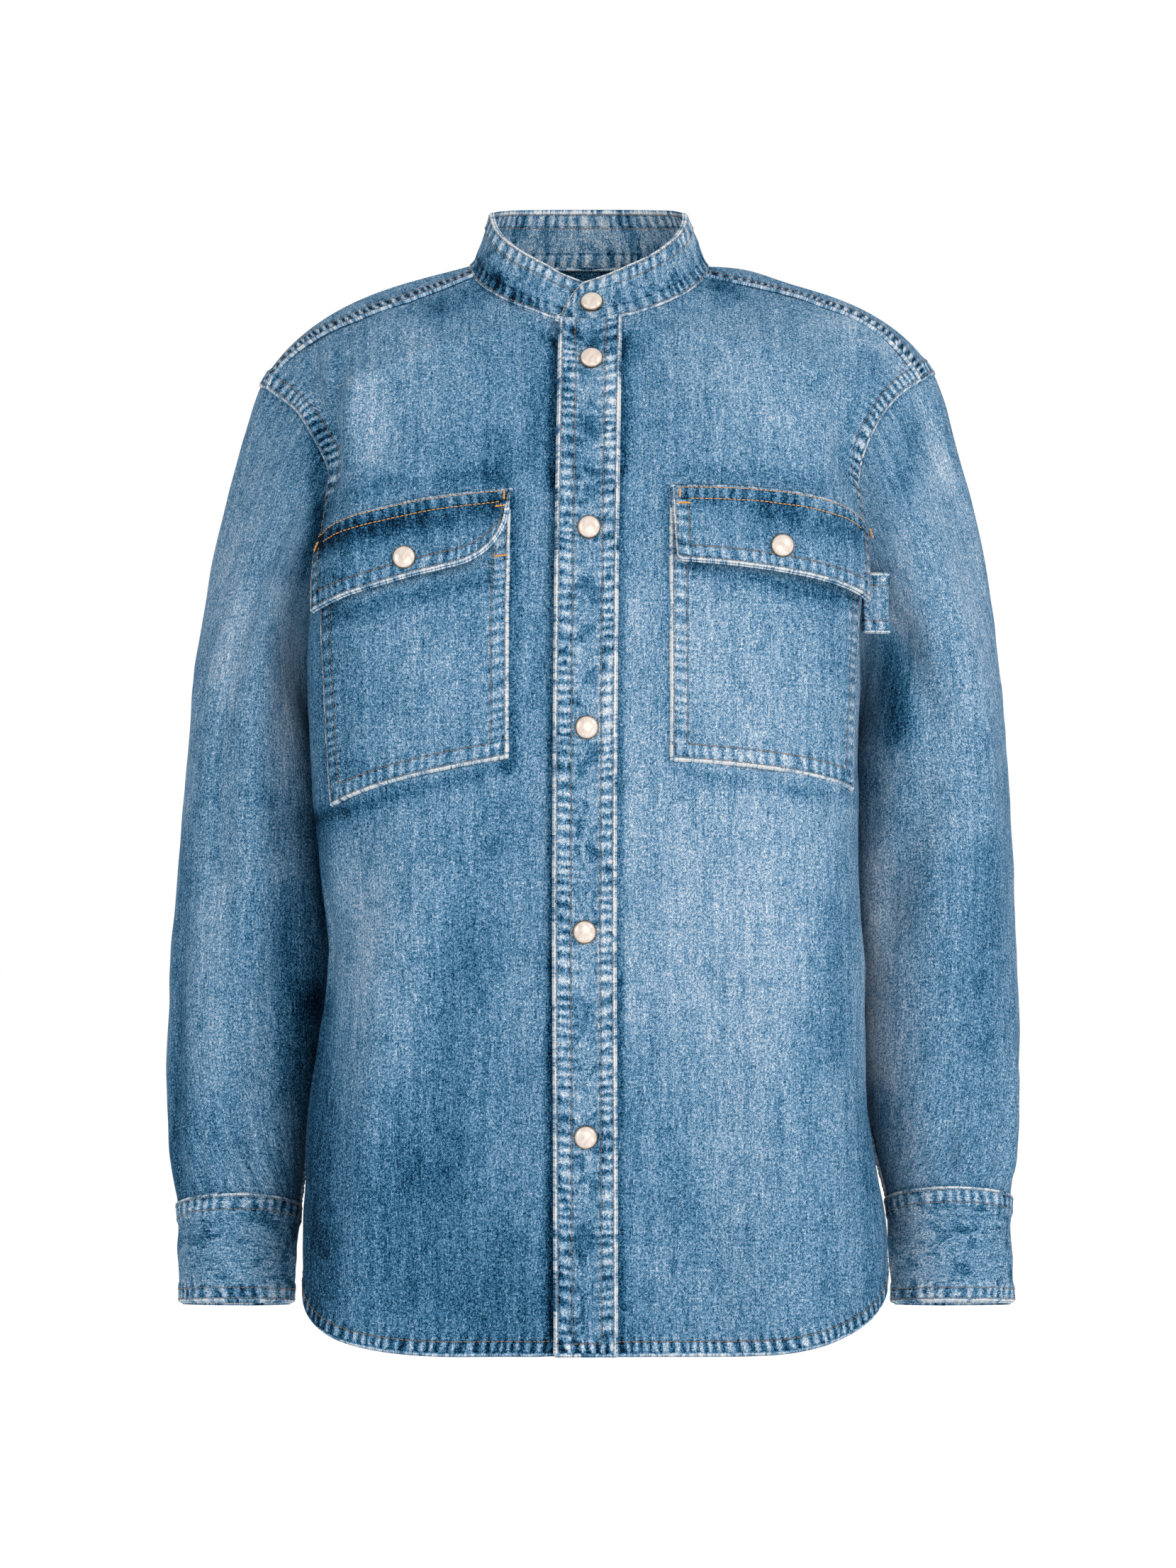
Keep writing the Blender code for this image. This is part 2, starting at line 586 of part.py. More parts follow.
def material(name, colour, roughness=0.9):
    made = bpy.data.materials.new(name)
    made.use_nodes = True
    shader = made.node_tree.nodes["Principled BSDF"]
    shader.inputs["Base Color"].default_value = (*colour, 1)
    shader.inputs["Roughness"].default_value = roughness
    return made


# ---- what lies on a front ----


def front_point(side, v, far):
    """The point of a front at this distance from the middle line, along the cloth."""
    line = front_line(side, v)
    along = np.concatenate([[0], np.cumsum(np.linalg.norm(np.diff(line, axis=0), axis=1))])
    along -= PLACKET_EDGE if side == LEFT else UNDER_EDGE
    return np.array([np.interp(far, along, line[:, k]) for k in range(3)])


def on_front(side, far, z):
    """The v, and the distance again, of the point at this distance and height."""
    low, high = 0.02, 0.98
    for _ in range(24):
        v = (low + high) / 2
        low, high = (v, high) if front_point(side, v, far)[2] < z else (low, v)
    return np.array([v, far])


def patch(side, corners, grid):
    """A grid of points and normals on a front, between four corners; rows run down and columns outwards."""
    top_in, top_out, low_out, low_in = (
        on_front(side, *corners[n]) for n in ("top_in", "top_out", "low_out", "low_in")
    )
    down, across = np.linspace(0, 1, grid[0] + 1), np.linspace(0, 1, grid[1] + 1)
    points, normals = [], []
    for q in down:
        for p in across:
            v, far = (1 - q) * ((1 - p) * top_in + p * top_out) + q * ((1 - p) * low_in + p * low_out)
            points.append(front_point(side, v, far))
            by_far = front_point(side, v, far + 1) - front_point(side, v, far - 1)
            by_v = front_point(side, v + 0.002, far) - front_point(side, v - 0.002, far)
            normals.append(unit(np.cross(by_far, by_v)) * side)
    shape = (grid[0] + 1, grid[1] + 1, 3)
    return np.array(points).reshape(shape), np.array(normals).reshape(shape)


def between(grid):
    """The grid with three values between every two neighbours."""
    for _ in range(4):
        fine = np.repeat(grid, 2, axis=0)[:-1]
        fine[1::2] = (grid[1:] + grid[:-1]) / 2
        grid = fine.swapaxes(0, 1)
    return grid


def heights_over(pieces, points, normals):
    """How far along the normals from the points, and from those between them, the pieces below are met."""
    corners, faces = [], []
    for piece in pieces:
        faces += [[i + len(corners) for i in face.vertices] for face in piece.data.polygons]
        corners += [piece.matrix_world @ corner.co / MM for corner in piece.data.vertices]
    tree = BVHTree.FromPolygons(corners, faces)
    fine, fine_normals = between(points), unit(between(normals))
    met = np.full(fine.shape[:2], -9.0)
    for place in np.ndindex(met.shape):
        way = Vector(fine_normals[place])
        distance = tree.ray_cast(Vector(fine[place]) + way * 30, -way, 60)[3]
        if distance is not None:
            met[place] = 30 - distance
    return met


def cleared(heights, met, gap):
    """Heights raised until the faces between the points are clear of what is met below."""
    rows, columns = heights.shape
    for _ in range(4):
        short = np.pad(met + gap - between(heights), 3, constant_values=-9.0)
        near = [short[a : a + 4 * rows - 3 : 4, b : b + 4 * columns - 3 : 4] for a in range(7) for b in range(7)]
        heights = heights + np.maximum(np.max(near, axis=0), 0) * 0.8
    return heights


def pocket(side, front):
    """A patch whose edges lie on the front and whose middle stands out a little."""
    points, normals = patch(side, POCKET[side], POCKET_GRID)
    q, p = np.meshgrid(*(np.linspace(0, 1, n + 1) for n in POCKET_GRID), indexing="ij")
    full = POCKET_FULL * np.sin(np.pi * p) ** 0.7 * np.sin(np.pi * q) ** 0.5
    met = heights_over([front], points, normals)
    heights = cleared(met[::4, ::4] + GAP + full, met, 3.5 * GAP)
    sheet = Sheet(points + normals * heights[..., None])
    return cloth(f"pocket_{SIDES[side]}", sheet, normals.reshape(-1, 3), POCKET_CLOTH, 0, DENIM, pull=0)


def flap(side, front, below):
    """The flap lies over the pocket, and its free edge stands out."""
    points, normals = patch(side, FLAP[side], FLAP_GRID)
    q, p = np.meshgrid(*(np.linspace(0, 1, n + 1) for n in FLAP_GRID), indexing="ij")
    full = POCKET_FULL * np.sin(np.pi * p) ** 0.7 * ease(0.15, 0.8, q)
    stand = FLAP_STAND * q**1.5 + (POCKET_CLOTH + GAP) * ease(0.0, 0.25, q)
    corner = np.clip(1 - np.hypot(p / 0.42, (1 - q) / 0.95), 0, 1)
    curl = FLAP_CURL[side] * corner**1.3
    met = heights_over([front, below], points, normals)
    heights = cleared(CLOTH / 2 + GAP + full + stand, met, GAP) + curl
    lifted = points + normals * heights[..., None]
    lifted[..., 2] += 0.8 * curl
    lifted[..., 0] += side * 0.25 * curl
    sheet = Sheet(lifted)
    made = cloth(f"flap_{SIDES[side]}", sheet, unit(sheet.normals()) * face_sign(sheet), FLAP_CLOTH, 0, DENIM, pull=0)
    across, down = FLAP_SNAP[side]
    rows = [[np.interp(across, p[0], row[:, k]) for k in range(3)] for row in lifted]
    place = [np.interp(down, q[:, 0], np.array(rows)[:, k]) for k in range(3)]
    snap_on(f"snap_flap_{SIDES[side]}", made, place)
    return made


def face_sign(sheet):
    """1 if the sheet's normals face the front, else -1."""
    return -1.0 if sheet.normals().sum(axis=0)[1] > 0 else 1.0


def snap_on(name, piece, place, way=(0, -1, 0)):
    """A snap on the outside of a piece, where a line through the place meets it."""
    tree = BVHTree.FromPolygons(
        [piece.matrix_world @ corner.co / MM for corner in piece.data.vertices],
        [list(face.vertices) for face in piece.data.polygons],
    )
    way = Vector(way).normalized()
    found, normal, _, _ = tree.ray_cast(Vector(place) + way * 60, -way, 120)
    normals = [normal]
    turned = way.to_track_quat("Z", "Y").to_matrix()
    for k in range(8):
        a = math.radians(45 * k)
        aside = turned @ Vector((math.cos(a), math.sin(a), 0)) * SNAP_RADIUS * 0.7
        met = tree.ray_cast(found + aside + way * 60, -way, 120)
        if met[1] is not None and (met[0] - found).length < 2 * SNAP_RADIUS:
            normals.append(met[1])
    mean = Vector([sum(n[k] for n in normals) for k in range(3)]).normalized()
    high = 0.0
    for k in range(12):
        a = math.radians(30 * k)
        across = mean.to_track_quat("Z", "Y").to_matrix() @ Vector((math.cos(a), math.sin(a), 0)) * SNAP_RADIUS
        met = tree.ray_cast(found + across + mean * 20, -mean, 40)
        if met[0] is not None:
            high = max(high, (met[0] - found) @ mean)
    return snap(name, found + mean * (high + GAP), mean)


def loop_path():
    """The loop's fold seen from above: out from the pocket's edge, round, and back behind."""
    root = np.array([LOOP["root_x"], LOOP["root_y"]])
    tip = np.array([LOOP["tip_x"], LOOP["tip_y"]])
    along = unit(tip - root)
    square = np.array([along[1], -along[0]])
    turns = np.radians(np.linspace(90, -90, 7))
    centre = tip - along * LOOP_BEND
    bend = [centre + LOOP_BEND * (along * math.cos(a) + square * math.sin(a)) for a in turns]
    ahead = [root + square * LOOP_BEND, (root + tip) / 2 + square * LOOP_BEND * 1.2]
    behind = [(root + tip) / 2 - square * LOOP_BEND * 1.2, root - square * LOOP_BEND]
    return np.array(ahead + bend + behind)


def loop():
    path = loop_path()
    heights = np.linspace(LOOP["top"], LOOP["bottom"], 4)
    grid = [[(x, y, z) for x, y in path] for z in heights]
    sheet = Sheet(grid)
    across = np.gradient(path, axis=0)
    normal = unit(np.stack([across[:, 1], -across[:, 0], 0 * across[:, 0]], axis=1))
    cloth("loop", sheet, np.tile(normal, (4, 1)), LOOP_CLOTH / 2, -LOOP_CLOTH / 2, DENIM, pull=0)


def snap(name, place, normal):
    """A turned rim and cap, its axis along the cloth's normal."""
    r, rim, high = SNAP_RADIUS, SNAP_RIM, SNAP_HEIGHT
    outline = [(0, high), (0.35 * r, 0.96 * high), (0.65 * r, 0.85 * high), (r - rim, 0.66 * high)]
    outline += [(r, 0.5 * high), (r, 0), (0, 0)]
    mesh = bmesh.new()
    points = [mesh.verts.new((x, 0, z)) for x, z in outline]
    for a, b in zip(points, points[1:]):
        mesh.edges.new((a, b))
    made = finished(name, mesh, PEARL, smooth=False)
    screw = made.modifiers.new("turned", "SCREW")
    screw.steps = screw.render_steps = SNAP_STEPS
    screw.use_merge_vertices = True
    screw.merge_threshold = 0.00001
    turned = Vector(normal).to_track_quat("Z", "Y").to_matrix().to_4x4()
    made.matrix_world = Matrix.Translation(Vector(place) * MM) @ turned
    return made


# ---- the garment ----


def body_sheets():
    """The fronts, the back and the yoke, and each side's armhole."""
    side_v = np.linspace(0, V_ARMPIT, SIDE_ROWS + 1)
    front_v = np.concatenate(
        [side_v, np.linspace(V_ARMPIT, V_NECK, CHEST_ROWS + 1)[1:], np.linspace(V_NECK, 1, NECK_ROWS + 1)[1:]]
    )
    back_v = np.concatenate([side_v, np.linspace(V_ARMPIT, V_YOKE, BACK_ROWS + 1)[1:]])
    yoke_v = np.concatenate(
        [np.linspace(V_YOKE, V_BACK_NECK, YOKE_ROWS + 1), np.linspace(V_BACK_NECK, 1, YOKE_NECK_ROWS + 1)[1:]]
    )
    shares = np.linspace(0, 1, COLUMNS + 1)
    grids, armholes, necks = {}, {}, {}
    for side, word in SIDES.items():
        front = np.array([front_row(side, v) for v in front_v])
        back = body_folds(np.array([back_row(side, v, shares) for v in back_v]))
        yoke = body_folds(np.array([back_row(side, v, shares) for v in yoke_v]))
        yoke[-1] = front[-1]
        grids[f"front_{word}"], grids[f"back_{word}"], grids[f"yoke_{word}"] = front, back, yoke
        over = yoke[::-1, -1]
        under = back[::-1, -1][: BACK_ROWS + 1]
        loop_points = np.vstack([front[SIDE_ROWS:, -1][::-1], under[::-1][:-1], over[::-1][:-1]])
        armholes[side] = (loop_points, len(front_v) - SIDE_ROWS - 1)
        necks[side] = (front[SIDE_ROWS + CHEST_ROWS :, 0], yoke[YOKE_ROWS:, 0])
    return grids, armholes, necks


def collar_grid(necks):
    """The band, from its outer end at the front, round the back, to its inner end under it."""
    angles_front = {
        side: np.linspace(PLACKET_ANGLE if side == LEFT else UNDER_ANGLE, SHOULDER_ANGLE, NECK_ROWS + 1)
        for side in SIDES
    }
    angles_yoke = np.linspace(180, SHOULDER_ANGLE, YOKE_NECK_ROWS + 1)
    columns = []
    for side, reverse in ((LEFT, False), (RIGHT, True)):
        front, yoke = necks[side]
        line = np.vstack([front, yoke[::-1][1:]])
        turns = np.concatenate([angles_front[side], angles_yoke[::-1][1:]])
        both = list(zip(line, turns, [side] * len(turns)))
        columns += both[::-1][1:] if reverse else both
    grid = []
    for step in np.linspace(0, 1, BAND_ROWS + 1):
        row = []
        for base, turn, side in columns:
            high = collar_top(turn) * np.array([side, 1, 1])
            if side == RIGHT and turn <= 90:
                high += sunk(-base[0], SINK_LEAN)
            share = step
            if side == LEFT:
                past = ease(COLLAR_END[0], COLLAR_END[1], side * base[0])
                share = step * (1 - (1 - COLLAR_END_LOW) * past)
            row.append(base + (high - base) * share)
        grid.append(row)
    return np.array(grid)


def cuff(side):
    """A strip round the wrist whose outer end laps over its inner end, behind, with its snap."""
    turns = np.linspace(CUFF_OPENING, CUFF_OPENING + 360 + CUFF_LAP, CUFF_COLUMNS + 1)
    lapped = (BAND + 2 * GAP) * ease(CUFF_OPENING + 360 - 34, CUFF_OPENING + 360 - 4, turns)
    grid = []
    for t in np.linspace(1, 2, BAND_ROWS + 1):
        ring = sleeve_ring(side, t)
        points = on_ring(ring, turns)
        grid.append(points + unit(points - ring[0]) * lapped[:, None])
    grid = np.array(grid)
    sheet = turned_out(Sheet(grid), grid.mean(axis=(0, 1)))
    made = cloth(f"cuff_{SIDES[side]}", sheet, unit(sheet.normals()), BAND / 2, -BAND / 2, DENIM, pull=2 * GAP)
    middle = sleeve_ring(side, 1.5)
    place = on_ring(middle, [CUFF_OPENING + CUFF_LAP / 2])[0]
    snap_on(f"snap_cuff_{SIDES[side]}", made, place, unit(place - middle[0]))


def sleeve_placket(side, sleeve):
    """The strip that edges the slit above the cuff, behind."""
    t_top = 1 - SLEEVE_PLACKET["length"] / 300
    wide = np.degrees(SLEEVE_PLACKET["width"] / 2 / 46)
    turns = CUFF_OPENING + CUFF_LAP / 2 + np.linspace(-wide, wide, 4)
    rings = [sleeve_ring(side, t) for t in np.linspace(0.985, t_top, 8)]
    points = np.array([on_ring(ring, turns) for ring in rings])
    out = np.array([unit(on_ring(ring, turns) - ring[0]) for ring in rings])
    met = heights_over([sleeve], points, out)
    heights = cleared(met[::4, ::4] + GAP, met, GAP)
    sheet = Sheet(points + out * heights[..., None])
    cloth(f"sleeve_placket_{SIDES[side]}", sheet, out.reshape(-1, 3), POCKET_CLOTH, 0, DENIM, pull=0)


def placket(sheet, normals, grid):
    """The strip over the left front's edge, from the collar to the hem: the front's own points moved out."""
    rows = SIDE_ROWS + CHEST_ROWS + 1
    tree = KDTree(len(sheet.points))
    for i, point in enumerate(sheet.points):
        tree.insert(point, i)
    tree.balance()
    points = grid[:rows, :4].copy()
    out = np.array([[normals[tree.find(point)[1]] for point in row] for row in points])
    out[-1] = out[-2]
    points[-1] += unit(points[-2] - points[-1]) * 3.0
    low = CLOTH / 2 + GAP
    return cloth("placket", Sheet(points), out.reshape(-1, 3), low + CLOTH, low, DENIM, pull=GAP)


def main():
    grids, armholes, necks = body_sheets()
    middle = np.array([0, 0, -300.0])
    sheets = {f"front_{word}": turned_out(Sheet(grids[f"front_{word}"]), middle) for word in SIDES.values()}
    for name in ("back", "yoke"):
        sheets[name] = turned_out(Sheet(grids[f"{name}_left"]).joined(Sheet(grids[f"{name}_right"])), middle)
    for side, word in SIDES.items():
        loop_points, armpit = armholes[side]
        top = int(np.argmax(side * loop_points[:, 0]))
        turns = armhole_turns(loop_points, top, armpit)
        rows = np.concatenate([np.linspace(0, 1, CAP_ROWS + 1), np.linspace(1, 2, ARM_ROWS + 1)[1:]])
        rings = sleeve_folds(side, sleeve_points(side, loop_points, turns, rows), turns)
        sheets[f"sleeve_{word}"] = turned_out(Sheet(rings, round_it=True), rings.mean(axis=(0, 1)))
    sheets["collar"] = turned_out(Sheet(collar_grid(necks)), np.array([0, 0, 0.0]))
    normals = shared_normals(list(sheets.values()))
    made = {}
    for name, sheet in sheets.items():
        thick = BAND if name == "collar" else CLOTH
        made[name] = cloth(name, sheet, normals[id(sheet)], thick / 2, -thick / 2, DENIM)
    for side, word in SIDES.items():
        front = made[f"front_{word}"]
        flap(side, front, pocket(side, front))
        cuff(side)
        sleeve_placket(side, made[f"sleeve_{word}"])
    strip = placket(sheets["front_left"], normals[id(sheets["front_left"])], grids["front_left"])
    snap_on("snap_front_1", made["collar"], (COLLAR_SNAP[0], -60, COLLAR_SNAP[1]))
    for k, (x, z) in enumerate(FRONT_SNAPS, 2):
        snap_on(f"snap_front_{k}", strip, (x, -100, z))
    loop()


for old in list(bpy.data.objects):
    bpy.data.objects.remove(old)
garment = bpy.data.collections.new("denim_shirt_jacket")
bpy.context.scene.collection.children.link(garment)
main()
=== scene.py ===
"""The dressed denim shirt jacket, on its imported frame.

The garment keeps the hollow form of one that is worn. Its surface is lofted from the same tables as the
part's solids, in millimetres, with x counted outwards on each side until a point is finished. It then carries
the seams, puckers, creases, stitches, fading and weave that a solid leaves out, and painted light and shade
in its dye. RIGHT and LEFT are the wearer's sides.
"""

import math

import bpy
import numpy as np
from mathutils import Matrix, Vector


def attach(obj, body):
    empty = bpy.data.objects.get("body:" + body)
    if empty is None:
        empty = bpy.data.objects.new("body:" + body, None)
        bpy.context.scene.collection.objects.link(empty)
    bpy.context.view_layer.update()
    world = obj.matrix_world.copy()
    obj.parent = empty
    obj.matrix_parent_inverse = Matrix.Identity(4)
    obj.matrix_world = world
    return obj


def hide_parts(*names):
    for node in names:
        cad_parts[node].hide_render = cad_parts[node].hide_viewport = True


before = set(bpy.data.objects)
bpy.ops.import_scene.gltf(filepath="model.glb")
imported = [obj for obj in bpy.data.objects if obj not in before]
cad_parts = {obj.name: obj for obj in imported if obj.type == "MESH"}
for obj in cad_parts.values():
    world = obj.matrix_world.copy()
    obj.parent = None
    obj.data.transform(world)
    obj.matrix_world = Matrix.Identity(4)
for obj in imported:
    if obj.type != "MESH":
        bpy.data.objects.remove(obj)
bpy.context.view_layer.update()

MM = 0.001
RIGHT, LEFT = -1, 1
SIDES = {RIGHT: "right", LEFT: "left"}
COARSE = 1.0


def table(columns, *rows):
    """Rows of values under named columns."""
    return dict(columns=columns.split(), rows=rows)


# ---- the garment's form ----

CLOTH, BAND, GAP = 1.2, 2.2, 0.3  # one layer, the double cloth of a band, and the air between pieces
PLACKET_EDGE, UNDER_EDGE, PLACKET_WIDTH = 21.0, 16.0, 41.0
UNDER_PLACKET = 2.2  # the left front's edge stays under the placket by this
SINK, SINK_FROM, SINK_TO, SINK_LEAN = 3.2, 38.0, 23.0, 0.5  # the right front's step under the left one
NECK_HALF_WIDTH, NECK_MID_Y, NECK_HALF_DEPTH = 77.5, -3.5, 58.5
NECK_FRONT_Z, NECK_SIDE_Z = -48.5, -6.0
TOP_HALF_WIDTH, TOP_MID_Y, TOP_HALF_DEPTH = 64.0, 4.0, 48.0
TOP_FRONT_Z, TOP_SIDE_Z, TOP_BACK_Z = -21.5, 29.0, 37.0
SHOULDER = {RIGHT: (0.0, -2.0), LEFT: (4.5, -2.5)}
SHOULDER_ANGLE, PLACKET_ANGLE, UNDER_ANGLE = 78.0, -15.7, -11.9
COLLAR_END, COLLAR_END_LOW = (-1.5, -19.2), 0.10  # its outer end is rounded between these, down to this share
# The placket's middle wanders a little from the middle line
DRIFT_Z = (-720, -580, -447, -316, -187, -110, -48)
DRIFT_X = (-1.8, -2.3, -2.9, -2.4, -1.2, 0.0, 1.0)
PLACKET_EDGES = (-19.7, 19.3)

# Along a panel, v runs from the hem (0) to the front shoulder seam (1)
V_ARMPIT, V_NECK, V_YOKE, V_BACK_NECK = 0.56, 0.86, 0.80, 0.88
HEM_LIFT = {RIGHT: 100.0, LEFT: 108.0}  # the shirt tail rises by a little less than this at the side seam
HEM_LIFT_TO = 0.30  # and the rise fades out at this v
LEFT_LIFT = 8.0  # the left armhole sits this much higher

# Front: the middle line, the widest edge that is seen from the front, and the side seam or armhole behind it
FRONT = table(
    "v mid_y mid_z edge_r edge_l edge_y seam_r seam_l seam_y seam_z",
    (0.00, -117.0, -720, 186.5, 195.0, -48, 178.0, 186.0, 4, -733),
    (0.07, -118.0, -665, 187.0, 196.0, -48, 178.0, 187.0, 4, -682),
    (0.14, -119.0, -610, 186.0, 190.0, -48, 177.0, 181.0, 4, -631),
    (0.21, -120.0, -555, 184.5, 183.0, -48, 175.5, 174.0, 4, -580),
    (0.28, -121.0, -500, 178.5, 181.0, -48, 169.5, 172.0, 4, -528),
    (0.35, -122.0, -445, 171.5, 180.0, -48, 163.0, 171.0, 4, -476),
    (0.42, -122.5, -390, 175.0, 176.5, -48, 166.5, 168.0, 4, -424),
    (0.49, -122.0, -335, 181.0, 177.0, -48, 172.5, 168.5, 4, -371),
    (0.56, -121.0, -279, 183.5, 177.0, -50, 175.5, 169.0, 3, -315),
    (0.63, -117.0, -223, 184.0, 177.5, -55, 174.5, 168.0, -33, -262),
    (0.70, -110.0, -167, 178.0, 179.5, -60, 171.5, 173.0, -53, -208),
    (0.78, -91.0, -107, 170.0, 177.0, -61, 170.0, 177.0, -61, -161),
    (0.86, -63.3, -51.5, 178.0, 185.5, -55, 178.0, 185.5, -55, -130),
    (0.93, -62.0, -51, 193.0, 202.0, -38, 193.0, 202.0, -38, -106),
    (1.00, -62.0, -51, 215.0, 226.0, -10, 215.0, 226.0, -10, -88),
)
# Back and yoke: the middle line, and the armhole behind and over the shoulder
BACK = table(
    "v mid_y mid_z seam_r seam_l seam_y seam_z",
    (0.56, 118, -270, 175.5, 169.0, 3, -315),
    (0.62, 121, -226, 172.0, 166.0, 38, -284),
    (0.68, 120, -184, 172.5, 168.5, 58, -236),
    (0.74, 115, -139, 177.0, 176.0, 66, -181),
    (0.80, 104, -95, 187.0, 190.0, 61, -134),
    (0.84, 83, -47, 198.0, 204.0, 51, -112),
    (0.88, 55, 0, 207.0, 214.5, 38, -100),
    (0.92, 55, 0, 214.5, 223.5, 23, -91),
    (0.96, 55, 0, 220.0, 231.0, 6, -86),
    (1.00, 55, 0, 215.0, 226.0, -10, -88),
)
BACK_MIDDLE = table(
    "v mid_y mid_z",
    (0.00, 112, -720),
    (0.14, 108, -600),
    (0.28, 107, -480),
    (0.42, 111, -370),
    (0.56, 118, -270),
)
# How a row of the panel arrives at its edge: its pull, its turn from straight across to straight back and its
# fall; and the slope with which it leaves the neck
FRONT_REACH = table(
    "v reach turn fall slope",
    (0.00, 1.32, 90, 26, 0.00),
    (0.56, 1.32, 90, 72, 0.00),
    (0.70, 1.25, 88, 84, 0.00),
    (0.78, 1.10, 68, 110, 0.00),
    (0.86, 1.00, 52, 150, 0.06),
    (0.93, 0.85, 36, 165, 0.22),
    (1.00, 0.60, 8, 170, 0.31),
)
BACK_REACH = table(
    "v reach turn fall slope",
    (0.00, 1.35, -71, 26, 0.00),
    (0.56, 1.35, -71, 90, 0.00),
    (0.68, 1.15, -58, 100, 0.00),
    (0.80, 1.00, -40, 80, 0.00),
    (0.88, 0.85, -24, 165, 0.08),
    (0.96, 0.65, -3, 175, 0.30),
    (1.00, 0.60, 8, 170, 0.31),
)
# Sleeve rings below the cap: outer and inner reach of each side, middle, half depth, and tilt of the front
SLEEVE = table(
    "t z out_r out_l in_r in_l mid_y depth tilt",
    (0.00, -345, 271.0, 281.0, 177.0, 176.0, 15, 66, 0),
    (0.20, -403, 276.0, 285.0, 172.5, 175.5, 20, 66, 2),
    (0.42, -466, 281.0, 287.5, 169.5, 178.0, 21, 64, 5),
    (0.60, -518, 283.0, 289.0, 176.5, 181.0, 14, 60, 9),
    (0.76, -562, 282.5, 287.0, 183.5, 185.0, 6, 55, 12),
    (0.90, -602, 280.0, 285.0, 190.0, 192.0, -3, 49, 15),
    (1.00, -634, 273.0, 279.5, 194.0, 200.0, -10, 38, 17),
)
CUFF_BOTTOM = dict(z=-697, out_r=270.5, out_l=281.0, in_r=198.5, in_l=203.5, mid_y=-19, depth=36, tilt=8)
CUFF_OPENING = -118.0  # where the cuff closes, in degrees from its outer line; negative is behind
CUFF_LAP = 26.0  # degrees by which the cuff's ends lap

# Pockets and flaps: corners, as distance from the middle line along the cloth, and height
POCKET = {
    RIGHT: dict(top_in=(53, -176), top_out=(184, -206), low_out=(176, -366), low_in=(53, -335)),
    LEFT: dict(top_in=(53, -175), top_out=(190, -196), low_out=(184, -356), low_in=(53, -336.5)),
}
FLAP = {
    RIGHT: dict(top_in=(52, -163), top_out=(193, -193.5), low_out=(183, -240.5), low_in=(53.5, -206.5)),
    LEFT: dict(top_in=(54, -161), top_out=(197, -182.5), low_out=(191, -232.5), low_in=(58, -208.5)),
}
# How far the yoke's front edge laps down over the fronts, at shares of its length from the neck
YOKE_LAP = {
    RIGHT: ((0.0, 0.15, 0.32, 0.55, 0.75, 0.88, 1.0), (1.2, 5.0, 8.0, 8.2, 4.5, 1.6, 1.6)),
    LEFT: ((0.0, 0.2, 0.4, 0.5, 0.7, 0.85, 1.0), (1.2, 1.6, 3.6, 5.6, 5.6, 5.6, 5.0)),
}
YOKE_LAP_HIGH = 1.3  # how far the lap stands out
POCKET_FULL = 2.5  # how far the middle of the pocket stands out
FLAP_STAND = 4.0  # how far the flap's free edge stands out
FLAP_CURL = {RIGHT: 7.0, LEFT: 0.0}  # the right flap's inner corner curls forward by this
CURL_WIDE, CURL_WORN = 52.0, 0.006  # over this width, and it is worn by this much per mm
FLAP_ROUND = {RIGHT: (36.0, 0.66), LEFT: (4.0, 0.05)}  # and is rounded: how wide, and its share of the height

LOOP = dict(root_x=180.0, tip_x=196.0, root_y=-66.0, tip_y=-63.0, top=-215.0, bottom=-253.0)
LOOP_BEND, LOOP_BULGE = 1.6, 0.2  # half the distance between its two layers, and how much they bulge
SLIT_WIDTH, SLIT_LENGTH = 22.0, 130.0  # the sleeve placket's
SLIT_FOOT, SLIT_RADIUS, ARM_DOWN = 0.985, 46, 300  # its lower end as a share of the arm, and the arm's sizes

COLLAR_LAP = 0.045  # how far the collar's lower edge laps over the neck seam, as a share of its height
COLLAR_STAND = 0.9  # and how far it stands out there
COLLAR_ROW_END = 16.5  # the collar's second row of stitches ends here, beside its outer end
COLLAR_TACK = 8.6  # in a tack of this length
# Bar tacks: x, z, length and turn in the picture, on the flaps and the pockets
TACKS = table(
    "piece x z long turn",
    ("flap_right", -57.0, -173.5, 7, 5),
    ("flap_right", -54.8, -166.5, 6, 90),
    ("flap_right", -177.0, -198.5, 7, 30),
    ("flap_left", 61.0, -171.5, 8, -2),
    ("flap_left", 58.5, -165.0, 6, 90),
    ("flap_left", 184.0, -189.0, 7, -10),
    ("pocket_right", -57.0, -205.5, 8, 4),
)

# The largest folds of the body: a line seen from the front or the back, its width, and its height or depth
FOLDS = table(
    "x0 z0 x1 z1 width height back",
    (-95, -360, -150, -720, 34, 9, 0),
    (-58, -400, -62, -730, 26, -6, 0),
    (-150, -350, -172, -560, 26, -6, 0),
    (-152, -60, -150, -230, 20, 5, 0),
    (-172, -70, -168, -150, 11, -5, 0),
    (84, -480, 70, -730, 36, -6, 0),
    (140, -380, 128, -730, 34, 7, 0),
    (170, -60, 166, -160, 13, -4, 0),
    (110, -400, 120, -730, 40, 8, 1),
    (45, -380, 40, -730, 34, -6, 1),
    (-30, -420, -35, -730, 36, 6, 1),
    (-105, -380, -120, -730, 38, -7, 1),
    (-150, -150, -120, -330, 30, 5, 1),
    (150, -150, 122, -330, 30, 5, 1),
)
